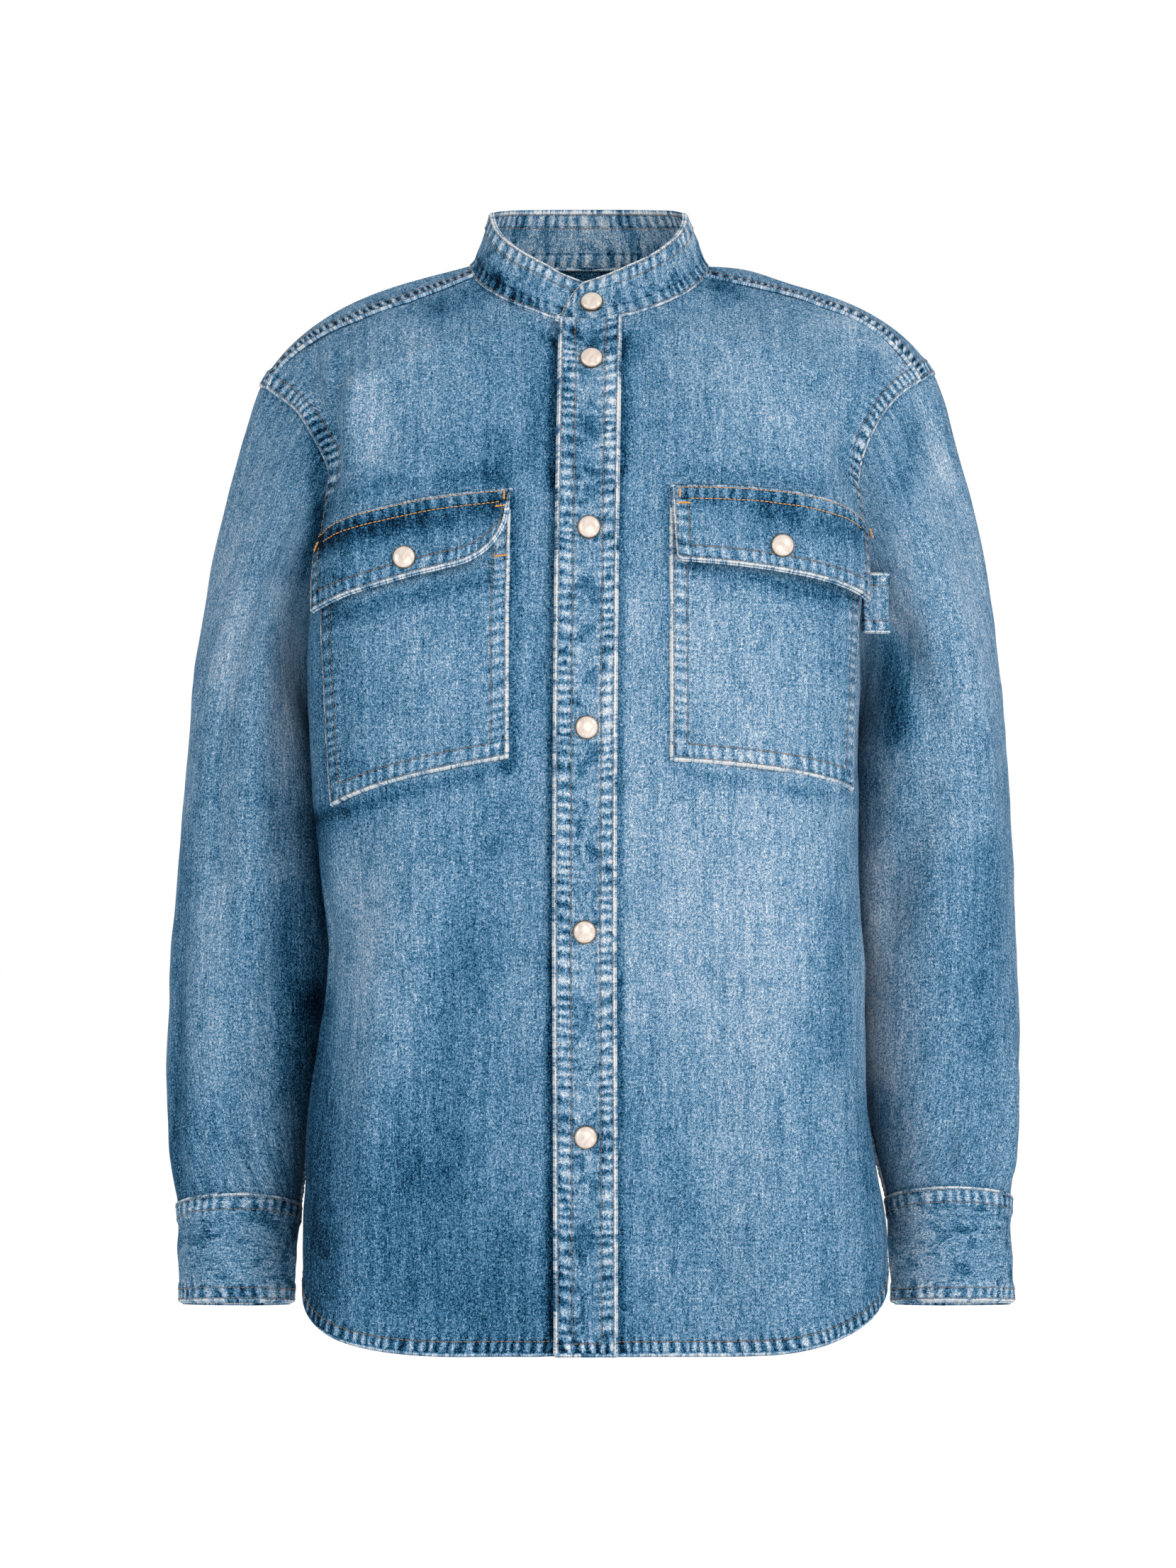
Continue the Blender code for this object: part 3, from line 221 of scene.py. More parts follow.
# The largest folds of the sleeves: a line round (degrees from the outer line, front positive) and down (z)
SLEEVE_FOLDS = table(
    "side turn0 z0 turn1 z1 width height",
    (RIGHT, 62, -120, 66, -420, 13, -5),
    (RIGHT, 100, -200, 92, -470, 16, 5),
    (RIGHT, 34, -430, 30, -628, 9, -4),
    (RIGHT, 120, -420, 100, -620, 20, -4),
    (LEFT, 118, -230, 84, -330, 20, -8),
    (LEFT, 84, -330, 130, -450, 20, -7),
    (LEFT, 52, -110, 48, -420, 16, 4),
    (LEFT, 70, -480, 96, -628, 15, -4),
    (LEFT, 30, -520, 26, -628, 12, 4),
    (RIGHT, -70, -300, -95, -480, 20, -6),
    (LEFT, -70, -300, -95, -480, 20, -6),
    (RIGHT, -60, -500, -50, -628, 14, 4),
    (LEFT, -60, -500, -50, -628, 14, 4),
)

SLEEVE_INNER = (125, 160)  # between these turns the folds fade out, towards the body

# Finer creases of the body, and of the sleeves, as in the two tables above
CREASES = table(
    "x0 z0 x1 z1 width height back",
    (-186, -56, -170, -156, 6, -5.0, 0),
    (-176, -62, -160, -120, 5, 2.0, 0),
    (-164, -74, -169, -150, 6, -4.0, 0),
    (-153, -74, -158, -150, 7, 2.0, 0),
    (-72, -400, -86, -640, 12, -3.0, 0),
    (-98, -420, -110, -700, 11, 2.0, 0),
    (-130, -420, -150, -700, 12, 1.8, 0),
    (-30, -58, -34, -92, 4, -1.0, 0),
    (-38, -50, -48, -84, 3, -0.8, 0),
    (-52, -42, -66, -74, 4, 0.8, 0),
    (34, -52, 36, -96, 4, -1.0, 0),
    (46, -46, 56, -84, 4, -0.8, 0),
    (60, -470, 52, -700, 12, 1.6, 0),
    (150, -560, 120, -700, 11, -1.8, 0),
    (176, -58, 160, -120, 6, -1.6, 0),
    (172, -90, 150, -140, 5, 1.2, 0),
    (-60, -300, -90, -560, 14, -1.8, 1),
    (70, -300, 84, -600, 14, 1.8, 1),
    (10, -500, 0, -700, 12, -1.6, 1),
    (-120, -100, -100, -240, 10, 1.6, 1),
    (120, -100, 104, -240, 10, 1.6, 1),
)
SLEEVE_CREASES = table(
    "side turn0 z0 turn1 z1 width height",
    (RIGHT, 40, -590, 44, -632, 4.5, -2.2),
    (RIGHT, 62, -570, 58, -632, 4.5, -1.8),
    (RIGHT, 84, -596, 82, -632, 4.0, -2.2),
    (RIGHT, 106, -580, 110, -632, 4.5, -1.8),
    (LEFT, 44, -592, 48, -632, 4.5, -2.2),
    (LEFT, 66, -584, 64, -632, 4.5, -1.8),
    (LEFT, 92, -570, 88, -632, 4.5, -2.4),
    (LEFT, 116, -596, 112, -632, 4.0, -1.6),
)
# Lighter (positive) and darker strokes: a line, its width, by how much, and on what: the pieces whose names
# start with the word, seen from the front, or every piece as seen from behind. Some are the cloth's own worn
# and dark places, and some are painted light and shade, as the notes in the table say.
FADES_AND_SHADES = table(
    "x0 z0 x1 z1 width amount on",
    # chest and shoulders
    (-120, -75, -100, -110, 32, 0.04, ""),
    (100, -80, 120, -115, 38, 0.09, ""),
    (-146, -92, -140, -138, 12, 0.13, ""),
    # painted shade along the right front's edge, where the sleeve turns under it at the armhole
    (-177, -120, -177, -200, 8, -0.24, ""),
    (172, -44, 212, -76, 14, 0.12, ""),
    (-110, -128, -56, -134, 16, -0.05, ""),
    (-100, -40, -66, -22, 10, -0.13, ""),
    (66, -18, 95, -26, 9, -0.11, ""),
    (-30, -60, 25, -62, 8, -0.13, ""),
    (-6, -118, -6, -146, 9, -0.13, "placket"),
    (14, -84, 14, -130, 7, 0.08, "placket"),
    (13, -290, 13, -350, 7, 0.08, "placket"),
    (13, -450, 13, -520, 7, 0.10, "placket"),
    (-90, -154, -58, -152, 7, -0.08, "front"),
    # painted shadow beside the placket's edges, down both fronts: this row and the six below
    (-23, -64, -24, -160, 4, -0.26, "front"),
    (-30, -80, -34, -150, 8, -0.08, "front"),
    (22, -62, 22, -150, 4, -0.22, "front"),
    (-22.5, -150, -24, -470, 3, -0.24, "front"),
    (20, -150, 19, -480, 3, -0.18, "front"),
    (-24, -470, -24, -725, 4, -0.30, "front"),
    (20, -480, 20, -725, 3, -0.20, "front"),
    (-58, -130, -56, -170, 12, -0.10, ""),
    (-90, -158, -60, -152, 9, -0.08, ""),
    (-170, -172, -120, -156, 9, -0.08, ""),
    (60, -150, 150, -158, 8, -0.09, ""),
    (28, -230, 27, -500, 9, 0.09, ""),
    # right flap and pocket
    (-182, -196, -56, -174, 12, -0.23, "flap"),
    (-180, -198, -110, -178, 9, -0.12, "flap"),
    (-95, -206, -68, -200, 7, -0.10, "flap"),
    # painted shadow cast by the right flap on the pocket below it
    (-178, -246, -66, -222, 6, -0.14, "pocket"),
    (-178, -222, -120, -214, 10, -0.08, "flap"),
    (-176, -240, -172, -368, 22, -0.12, ""),
    # painted shadow beside the right pocket's inner edge, and partly the unworn cloth there
    (-50, -170, -50, -340, 5, -0.16, "front"),
    (-105, -255, -100, -310, 26, 0.02, ""),
    # painted shadow under the right pocket's bottom edge, and partly the unworn cloth there
    (-182, -376, -56, -342, 5, -0.14, "front"),
    # left flap and pocket
    (58, -165, 130, -172, 9, -0.12, "flap"),
    (116, -178, 182, -192, 11, -0.18, "flap"),
    # painted shadow cast by the left flap on the pocket below it
    (64, -212, 182, -236, 6, -0.16, "pocket"),
    # painted shadow beside the left pocket's inner edge, and partly the unworn cloth there
    (50, -165, 50, -336, 4, -0.10, "front"),
    (150, -232, 162, -275, 15, -0.06, ""),
    (78, -235, 76, -330, 30, 0.05, ""),
    # painted shadow under the left pocket's bottom edge, and partly the unworn cloth there
    (56, -344, 186, -364, 5, -0.10, "front"),
    # belly and tail
    (120, -270, 118, -500, 58, 0.08, ""),
    (46, -215, 48, -500, 20, 0.05, ""),
    (100, -400, 104, -440, 42, 0.06, ""),
    (102, -500, 100, -640, 34, 0.05, ""),
    (-140, -420, -146, -500, 15, 0.09, ""),
    (-55, -372, -74, -430, 14, -0.05, "front"),
    (-78, -455, -100, -600, 20, -0.09, ""),
    (-120, -640, -60, -700, 72, -0.15, ""),
    (-154, -340, -122, -352, 9, -0.10, ""),
    (170, -344, 186, -352, 8, -0.12, ""),
    (134, -510, 140, -530, 14, -0.07, ""),
    (-104, -420, -120, -520, 11, 0.04, ""),
    (62, -370, 62, -490, 14, 0.06, ""),
    (62, -605, 62, -660, 12, -0.07, ""),
    # painted shade between the right sleeve and the body's edge, this row and the next
    (-178, -380, -184, -500, 10, -0.18, ""),
    (-178, -500, -180, -725, 16, -0.24, ""),
    # painted light on the left sleeve's inner side beside the body, where it lies in shade
    (186, -400, 187, -545, 8, 0.10, ""),
    (160, -440, 158, -520, 14, -0.11, ""),
    (184, -560, 186, -700, 12, -0.11, ""),
    # sleeves
    (-240, -190, -236, -290, 18, 0.10, "sleeve"),
    # painted light on the right sleeve's inner side, which turns away from the light
    (-199, -268, -199, -320, 9, 0.05, "sleeve"),
    (-262, -560, -250, -690, 20, -0.07, "sleeve"),
    # painted light on the left sleeve's inner side, which turns away from the light
    (182, -440, 186, -610, 10, 0.12, "sleeve"),
    (256, -180, 258, -300, 12, 0.08, "sleeve"),
    (222, -100, 236, -150, 9, 0.08, "sleeve"),
    (204, -196, 205, -258, 10, 0.10, "sleeve"),
    (-247, -420, -250, -560, 12, 0.07, "sleeve"),
    # painted light on the right sleeve's inner side, which turns away from the light
    (-200, -230, -198, -350, 11, 0.11, "sleeve"),
    (-200, -430, -199, -550, 11, -0.18, "sleeve"),
    (-275, -390, -275, -640, 9, -0.18, "sleeve"),
    (-235, -630, -235, -700, 80, -0.07, "cuff"),
    (240, -630, 240, -700, 80, -0.05, "cuff"),
    # painted shade on the right sleeve where it is tucked behind the front's edge
    (-176, -180, -186, -215, 6, -0.12, "sleeve"),
    # painted light on the left sleeve's inner side beside the body, where it lies in shade
    (196, -400, 198, -550, 14, 0.08, "sleeve"),
    (230, -600, 230, -660, 12, -0.08, "sleeve"),
    # painted shade in the hollow of the left sleeve's inner elbow
    (200, -262, 204, -318, 10, -0.30, "sleeve"),
    (235, -140, 246, -400, 24, 0.06, "sleeve"),
    (262, -400, 262, -520, 14, -0.09, "sleeve"),
    (216, -120, 206, -150, 9, -0.09, "sleeve"),
    (222, -600, 222, -690, 12, 0.07, ""),
    # collar
    (-72, -8, -48, -32, 9, -0.22, "collar"),
    (-44, -34, -28, -42, 7, -0.10, "collar"),
    (80, -10, 90, -20, 9, -0.10, ""),
    (20, -36, 60, -24, 7, -0.07, "collar"),
    # painted light on the collar's inner back, which lies in shade
    (-20, 12, 70, 12, 22, 0.04, "behind"),
    # behind
    (-90, -140, 90, -140, 50, 0.08, "behind"),
    (0, -300, 0, -420, 90, 0.06, "behind"),
    (-120, -640, 120, -660, 60, -0.09, "behind"),
    (-176, -330, -180, -640, 14, -0.12, "behind"),
    (176, -330, 180, -640, 14, -0.12, "behind"),
    (-246, -200, -262, -420, 16, 0.10, "behind"),
    (250, -200, 266, -420, 16, 0.10, "behind"),
)

# ---- how fine the cloth is, and how it is made up ----

FINE_POINTS = 161  # on each row of a front
STEP, STEP_BACK, STEP_SLEEVE, STEP_CUFF, STEP_FINE, STEP_FLAP = 2.6, 3.0, 2.8, 2.1, 1.8, 1.6
# Rough lengths in mm, from which the grids get their counts
HEM_TO_ARMPIT, ARMPIT_TO_NECK, BESIDE_NECK, ARMPIT_TO_YOKE = 425, 240, 62, 190
YOKE_BEHIND, YOKE_OVER = 70, 110
FRONT_WIDE, BACK_WIDE, YOKE_WIDE = 215, 255, 225
CAP_LONG, ARM_LONG, ARM_ROUND = 245, 290, 340
COLLAR_LONG, COLLAR_HIGH, CUFF_LONG, CUFF_HIGH, SLIT_SEEN = 410, 44, 265, 68, 120

BODY_MIDDLE = np.array([0.0, 0.0, -300.0])
# Painted shade on the yoke's inner side, which is seen in the dark inside of the neck
YOKE_INSIDE_SHADE = -0.22  # the yoke's inner side is dyed darker by this
# Each shell: how far its outer and inner skins stand from the surface, if it has two layers, and its look
SHELLS = dict(
    front=(CLOTH / 2, -CLOTH / 2, False, "plain"),
    back=(CLOTH / 2, -CLOTH / 2, False, "plain"),
    yoke=(CLOTH / 2, -CLOTH / 2, False, "plain"),
    sleeve=(CLOTH / 2, -CLOTH / 2, False, "plain"),
    cuff=(1.2, -1.0, True, "sewn"),
    sleeve_placket=(2.0, 0.3, False, "sewn"),
    pocket=(2.1, 0.5, False, "plain"),
    flap=(3.2, 1.0, True, "plain"),
    collar=(1.2, -1.0, True, "sewn"),
    placket=(2.7, 1.0, True, "sewn"),
    loop=(0.6, -0.6, True, "sewn"),
)
# The small unevenness of each piece: its seed, and the sizes and depths of its two sets of waves
SETTLED = dict(
    front=(3, (26, 70), (0.10, 0.35)),
    back=(40, (26, 70), (0.10, 0.35)),
    sleeve=(70, (26, 70), (0.10, 0.35)),
    collar=(90, (14, 40), (0.12, 0.3)),
    cuff=(120, (16, 40), (0.15, 0.3)),
    pocket=(150, (18, 45), (0.12, 0.25)),
    flap=(160, (18, 45), (0.10, 0.2)),
    placket=(180, (13, 30), (0.16, 0.16)),
)
SNAP_STEPS = 48
SNAP_RIM_LINE = ((0.01, 0.0), (7.2, 0.0), (7.6, 0.5), (7.6, 1.3), (7.4, 1.8), (7.1, 1.95), (6.85, 1.7))
SNAP_CAP_LINE = ((6.95, 1.3), (6.95, 2.0), (6.55, 2.6), (5.5, 3.2), (4.0, 3.65), (2.0, 3.95), (0.01, 4.05))


# ---- small mathematics ----


def through(table, at, names):
    """A smooth curve through a table's rows at its first column, for the named columns."""
    rows = np.array(table["rows"], float)
    keys, values = rows[:, 0], rows[:, [table["columns"].index(n) for n in names]]
    return curve(keys, values, at)


def curve(keys, values, at):
    keys, values = np.asarray(keys, float), np.asarray(values, float)
    steps = np.diff(values, axis=0) / np.diff(keys)[:, None]
    inner = (steps[1:] + steps[:-1]) / 2
    slopes = np.vstack([steps[:1], inner, steps[-1:]])
    at = min(max(at, keys[0]), keys[-1])
    i = int(np.clip(np.searchsorted(keys, at) - 1, 0, len(keys) - 2))
    width = keys[i + 1] - keys[i]
    return hermite(values[i], slopes[i] * width, values[i + 1], slopes[i + 1] * width, (at - keys[i]) / width)


def hermite(start, leave, end, arrive, t):
    return (
        start * (2 * t**3 - 3 * t**2 + 1)
        + leave * (t**3 - 2 * t**2 + t)
        + end * (3 * t**2 - 2 * t**3)
        + arrive * (t**3 - t**2)
    )


def ease(low, high, x):
    t = np.clip((x - low) / (high - low), 0, 1)
    return t * t * (3 - 2 * t)


def evenly(line, shares):
    """Points at these shares of a line's length."""
    along = np.concatenate([[0], np.cumsum(np.linalg.norm(np.diff(line, axis=0), axis=1))])
    return np.stack([np.interp(np.asarray(shares) * along[-1], along, line[:, k]) for k in range(3)], axis=-1)


def unit(vectors):
    return vectors / np.maximum(np.linalg.norm(vectors, axis=-1, keepdims=True), 1e-9)


# ---- the garment's surface; x is counted outwards on each side until a point is finished ----


def neck(angle):
    """The neck seam, at an angle round from the front."""
    a = math.radians(angle)
    ahead = math.cos(max(a, 0.0))  # past the middle line it runs straight on
    if angle <= 90:
        z = NECK_FRONT_Z + (NECK_SIDE_Z - NECK_FRONT_Z) * (1 - ahead) ** 0.78
    else:
        z = NECK_SIDE_Z * (1 + ahead)
    return np.array([NECK_HALF_WIDTH * math.sin(a), NECK_MID_Y - NECK_HALF_DEPTH * ahead, z])


def collar_top(angle):
    a = math.radians(angle)
    if angle <= 90:  # past the middle line it keeps falling
        turned = angle / 90
        z = TOP_FRONT_Z + (TOP_SIDE_Z - TOP_FRONT_Z) * (0.75 * turned + 0.25 * turned * abs(turned))
    else:
        z = TOP_SIDE_Z + (TOP_BACK_Z - TOP_SIDE_Z) * math.sin(a - math.pi / 2) ** 0.8
    return np.array([TOP_HALF_WIDTH * math.sin(a), TOP_MID_Y - TOP_HALF_DEPTH * math.cos(a), z])


def pick(side, table, at, ends):
    """x, y, z of a table's edge or seam on this side."""
    letter = "r" if side == RIGHT else "l"
    x, y, z = through(table, at, (f"{ends}_{letter}", f"{ends}_y", "seam_z"))
    lift = LEFT_LIFT * ease(0.2, V_ARMPIT, at) if side == LEFT else 0.0
    return np.array([x, y, z + lift])


def row_curve(start, leave_slope, end, reach, turn, fall, tail=None, count=180):
    """A row of cloth from the middle or the neck to the edge, and on to the seam behind it."""
    across = np.linalg.norm((end - start)[:2])
    turned = math.radians(turn)
    leave = np.array([1.15 * across, 0, -leave_slope * across])
    arrive = np.array([reach * across * math.cos(turned), reach * across * math.sin(turned), -fall])
    t = np.linspace(0, 1, count)[:, None]
    line = hermite(start, leave, end, arrive, t)
    if tail is not None and abs(tail[1] - end[1]) > 0.5:
        s = np.linspace(0, 1, count // 3)[1:, None]
        more = end + (tail - end) * s
        more[:, 0] = end[0] + (tail[0] - end[0]) * s[:, 0] ** 2
        line = np.vstack([line, more])
    return line


def hem_lift(side, v, shares):
    high = HEM_LIFT[side]
    return high * (1 - np.exp(-1.9 * np.asarray(shares) ** 5)) * max(0.0, 1 - v / HEM_LIFT_TO) ** 2


def bare_line(side, v):
    """A fine line along one row of a front, from its front edge to the seam at its side."""
    edge, seam = pick(side, FRONT, v, "edge"), pick(side, FRONT, v, "seam")
    edge[2] = seam[2] if v >= V_ARMPIT else seam[2] + 2
    reach, turn, fall, slope = through(FRONT_REACH, v, ("reach", "turn", "fall", "slope"))
    edge_x, edge_angle = (-PLACKET_EDGE, PLACKET_ANGLE) if side == LEFT else (-UNDER_EDGE, UNDER_ANGLE)
    if v <= V_NECK:
        y, z = through(FRONT, v, ("mid_y", "mid_z"))
        line = row_curve(np.array([0, y, z]), slope, edge, reach, turn, fall, seam)
        past = -edge_x * np.linspace(1, 0, 9)[:-1]
        mirrored = np.stack([-past] + [np.interp(past, line[:150, 0], line[:150, k]) for k in (1, 2)], axis=1)
        line = np.vstack([mirrored, line])
        near = ease(-5, edge_x, line[:, 0]) * ease(V_NECK - 0.05, V_NECK, v)
        line += (neck(edge_angle) - line[0]) * near[:, None]
    else:
        share = (v - V_NECK) / (1 - V_NECK)
        start = neck(edge_angle + (SHOULDER_ANGLE - edge_angle) * share)
        line = row_curve(start, slope, edge, reach, turn, fall, seam)
    return evenly(line, np.linspace(0, 1, FINE_POINTS))


def front_line(side, v):
    """The same line with the hem's rise, the largest folds and the step under the placket."""
    line = bare_line(side, v)
    if v > V_NECK:  # rows that start beside the collar leave the row below them without a step
        below, t = bare_line(side, V_NECK), np.linspace(0, 1, FINE_POINTS)[:, None]
        below = below + (line[0] - below[0]) * (1 - t) + (line[-1] - below[-1]) * t
        line = line + (below - line) * (1 - ease(V_NECK, V_NECK + 0.05, v))
    line[:, 2] += hem_lift(side, v, np.linspace(0, 1, FINE_POINTS))
    if side == RIGHT:
        line += sunk(line[:, 0], SINK_LEAN * ease(0.5, V_NECK, v))
    line[:, 0] *= side
    return body_folds(line)


def sunk(x, lean):
    """How far the right front is moved at x, measured outwards, so that it passes under the left front."""
    deep = SINK * ease(SINK_FROM, SINK_TO, np.asarray(x, float))
    return np.stack([0 * deep, deep * math.cos(lean), -deep * math.sin(lean)], axis=-1)


def shoulder_lift(side, v, shares):
    """The left shoulder stands a little higher beside the collar and slopes down further out."""
    near, far = SHOULDER[side]
    shares = np.asarray(shares)
    lift = near * np.exp(-(((shares - 0.18) / 0.14) ** 2)) + far * np.exp(-(((shares - 0.62) / 0.22) ** 2))
    return lift * ease(0, 0.08, shares) * ease(0.8, 0.92, v) * (1 - ease(0.96, 1.0, v))


def drifted(points):
    """Moves the left front near its edge, and all that lies on it, along with the placket's middle."""
    near = ease(46, 22, np.abs(points[..., 0]))
    moved = points.copy()
    moved[..., 0] += np.interp(points[..., 2], DRIFT_Z, DRIFT_X) * near
    return moved


def back_row(side, v, shares):
    """Points along one row of the back or the yoke, from the middle."""
    reach, turn, fall, slope = through(BACK_REACH, v, ("reach", "turn", "fall", "slope"))
    if v <= V_ARMPIT:
        seam = pick(side, FRONT, v, "seam")
        y, z = through(BACK_MIDDLE, v, ("mid_y", "mid_z"))
    else:
        seam = pick(side, BACK, v, "seam")
        y, z = through(BACK, v, ("mid_y", "mid_z"))
    if v <= V_BACK_NECK:
        start = np.array([0, y, z])
    else:
        share = (v - V_BACK_NECK) / (1 - V_BACK_NECK)
        start = neck(180 + (SHOULDER_ANGLE - 180) * share)
    points = evenly(row_curve(start, slope, seam, reach, turn, fall), shares)
    points[:, 2] += hem_lift(side, v, shares) + shoulder_lift(side, v, shares)
    points[:, 0] *= side
    return points


def sleeve_ring(side, t):
    """Centre, outward and forward half axes of a ring below the sleeve's cap; t = 2 is the cuff's bottom."""
    letter = "r" if side == RIGHT else "l"
    names = ("z", f"out_{letter}", f"in_{letter}", "mid_y", "depth", "tilt")
    top = through(SLEEVE, min(t, 1.0), names)
    if t > 1:
        bottom = np.array([CUFF_BOTTOM[n] for n in names])
        top = top + (bottom - top) * (t - 1)
    z, out, inn, y, depth, tilt = top
    lift = 4.5 * ease(0.5, 1.0, t) * (1 - ease(1, 2, t)) if side == LEFT else 0.0
    centre = np.array([side * (out + inn) / 2, y, z + lift])
    outward = np.array([side * (out - inn) / 2, 0, 0])
    tipped = math.radians(tilt)
    forward = np.array([0, -depth * math.cos(tipped), depth * math.sin(tipped)])
    return centre, outward, forward


def on_ring(ring, turns):
    centre, outward, forward = ring
    turned = np.radians(np.asarray(turns))[:, None]
    return centre + outward * np.cos(turned) + forward * np.sin(turned)


def armhole_turns(loop, top, armpit):
    """The armhole's points as angles on the sleeve: 0 at the shoulder, 180 at the armpit, front positive."""
    lengths = np.linalg.norm(np.diff(np.vstack([loop, loop[:1]]), axis=0), axis=1)
    along = np.concatenate([[0], np.cumsum(lengths)])[:-1]
    total = lengths.sum()
    to_armpit = (along[armpit] - along[top]) % total
    ahead = (along - along[top]) % total
    return np.where(ahead <= to_armpit, 180 * ahead / to_armpit, -180 * (total - ahead) / (total - to_armpit))


def sleeve_points(side, loop, turns, rows):
    """Rings of points from the armhole to the cuff; rows run from 0 to 1 over the cap and to 2 below it."""
    first = on_ring(sleeve_ring(side, 0), turns)
    below = on_ring(sleeve_ring(side, 0.05), turns) - first
    outer = (1 + np.cos(np.radians(turns)))[:, None] / 2
    sideways = np.array([side, 0.0, 0.0])
    drop = np.linalg.norm(first - loop, axis=1)[:, None]
    down = np.array([0, 0, -1.0])
    leave = (sideways * (0.42 * outer + 1.25 * (1 - outer)) + down * (0.95 * outer + 0.3)) * drop
    arrive = unit(below) * drop
    rings = []
    for row in rows:
        if row <= 1:
            rings.append(hermite(loop, leave, first, arrive, row))
        else:
            rings.append(on_ring(sleeve_ring(side, row - 1), turns))
    return np.array(rings)


def raised(points, folds):
    """How far a table of the body's folds moves these points out."""
    flat = points.reshape(-1, 3)
    moved = np.zeros(len(flat))
    for x0, z0, x1, z1, width, height, back in folds["rows"]:
        moved += ridge(flat[:, [0, 2]], (x0, z0), (x1, z1), width) * height * ((flat[:, 1] > 0) == bool(back))
    return moved.reshape(points.shape[:-1])


def body_folds(points):
    """Moves the body's points out or in at its largest folds."""
    flat = points.reshape(-1, 3)
    outwards = unit(np.stack([flat[:, 0] * 0.45, flat[:, 1], 0 * flat[:, 0]], axis=1))
    moved = raised(flat, FOLDS)
    quiet = ease(50, 66, np.abs(flat[:, 1])) * ease(24, 40, np.abs(flat[:, 0]) + 40 * (flat[:, 1] > 0))
    return (flat + outwards * (moved * quiet)[:, None]).reshape(points.shape)


def ridge(places, start, end, width):
    """1 on a line, falling off across it and towards its ends."""
    start, end = np.array(start, float), np.array(end, float)
    way = end - start
    t = ((places - start) @ way) / (way @ way)
    across = np.linalg.norm(places - start - np.clip(t, 0, 1)[:, None] * way, axis=1)
    ends = ease(-0.05, 0.3, t) * (1 - ease(0.85, 1.25, t))
    return np.exp(-((across / width) ** 2)) * ends


# ---- cloth as a grid ----

# Each kind of seam: the rise of its doubled cloth and its width, its rows of stitches, the depth of its
# puckers and how far they reach, the wear of its edge, the strength and pitch of its roping, and its dye
SEAM_COLUMNS = "rise width rows pucker reach wear rope pitch dye".split()
SEAMS = dict(
    lap=(1.1, 12.0, (1.7, 10.3), 0.45, 12, 0.7, 1.9, 6.6, -0.03),
    shoulder=(0.9, 9.5, (1.6, 8.2), 0.40, 4, 0.8, 2.6, 5.2, -0.11),
    edge=(0.9, 11.5, (1.5, 10.3), 0.42, 9, 1.0, 1.0, 7.4, 0.0),
    under=(-0.3, 2.0, (), 0.30, 9, 0.0, 0.3, 7.4, -0.05),
    gathered=(-0.2, 2.0, (), 1.1, 22, 0.0, 0.3, 9.5, -0.06),
    hem=(1.1, 9.5, (8.6,), 0.5, 8, 0.9, 2.1, 6.8, -0.05),
    band=(0.2, 3.0, (1.8,), 0.45, 20, 0.8, 1.0, 8.2, 0.0),
)
INNER_ROW = 10.3  # distance of the inner row of stitches, in the scale of the seams' attribute
SLANT = 0.10  # how the puckers lean, in radians of their wave per mm
FAR_OFF, TOP_WORN = 99.0, 90  # no seam near, and the most that is written down
NEAR_EDGE = np.array([0, 0.8, 1.9, 3.4])  # where the grids are close to an edge
STITCH, STITCH_GAP, STITCH_RADIUS = 2.4, 0.6, 0.38
TACK_THREAD, TACK_STITCH, TACK_OVERLAP, TACK_HIGH = 0.75, 2.2, 0.55, 0.15
# A rim's rings: their places between the outer skin (0) and the inner one (1) and how far they bulge, as
# shares of the thickness, and their dye. The last one is dark: painted shadow under the edge, and partly the
# dark, unworn cloth there.
RIM_OF_ONE = ((0.35, 0.22, 0.0), (0.65, 0.34, 0.0), (0.93, 0.66, -0.42))
RIM_OF_TWO = (  # two layers with a groove between them
    (0.18, 0.14, 0.0),
    (0.40, 0.12, 0.0),
    # the groove's ring is dyed dark as painted shade in the groove between the layers
    (0.50, 0.12, -0.5),
    (0.62, 0.34, 0.0),
    (0.80, 0.40, 0.0),
    # dyed dark as painted shadow under the edge, and partly the unworn cloth there
    (0.96, 0.58, -0.46),
)
THREADS = dict(brown=(0.135, 0.078, 0.040), orange=(0.44, 0.19, 0.030), grey=(0.12, 0.095, 0.08))


def shares(length, step, start=True, stop=True):
    """Shares of a length at which a grid has its lines: a step apart, and closer at its ends."""
    first = NEAR_EDGE if start else NEAR_EDGE[:1]
    last = NEAR_EDGE if stop else NEAR_EDGE[:1]
    count = max(2, round((length - first[-1] - last[-1]) / (step * COARSE)))
    middle = np.linspace(first[-1], length - last[-1], count + 1)
    return np.concatenate([first[:-1], middle, (length - last[:-1])[::-1]]) / length


def wave(along, key, pitch):
    """The phase of a seam's puckers, whose pitch wanders."""
    wander = 2.8 * np.sin(along / 17.0 + 1.7 * key)
    return 2 * math.pi * along / pitch + wander + 1.5 * np.sin(along / 6.9 + 2.9 * key)


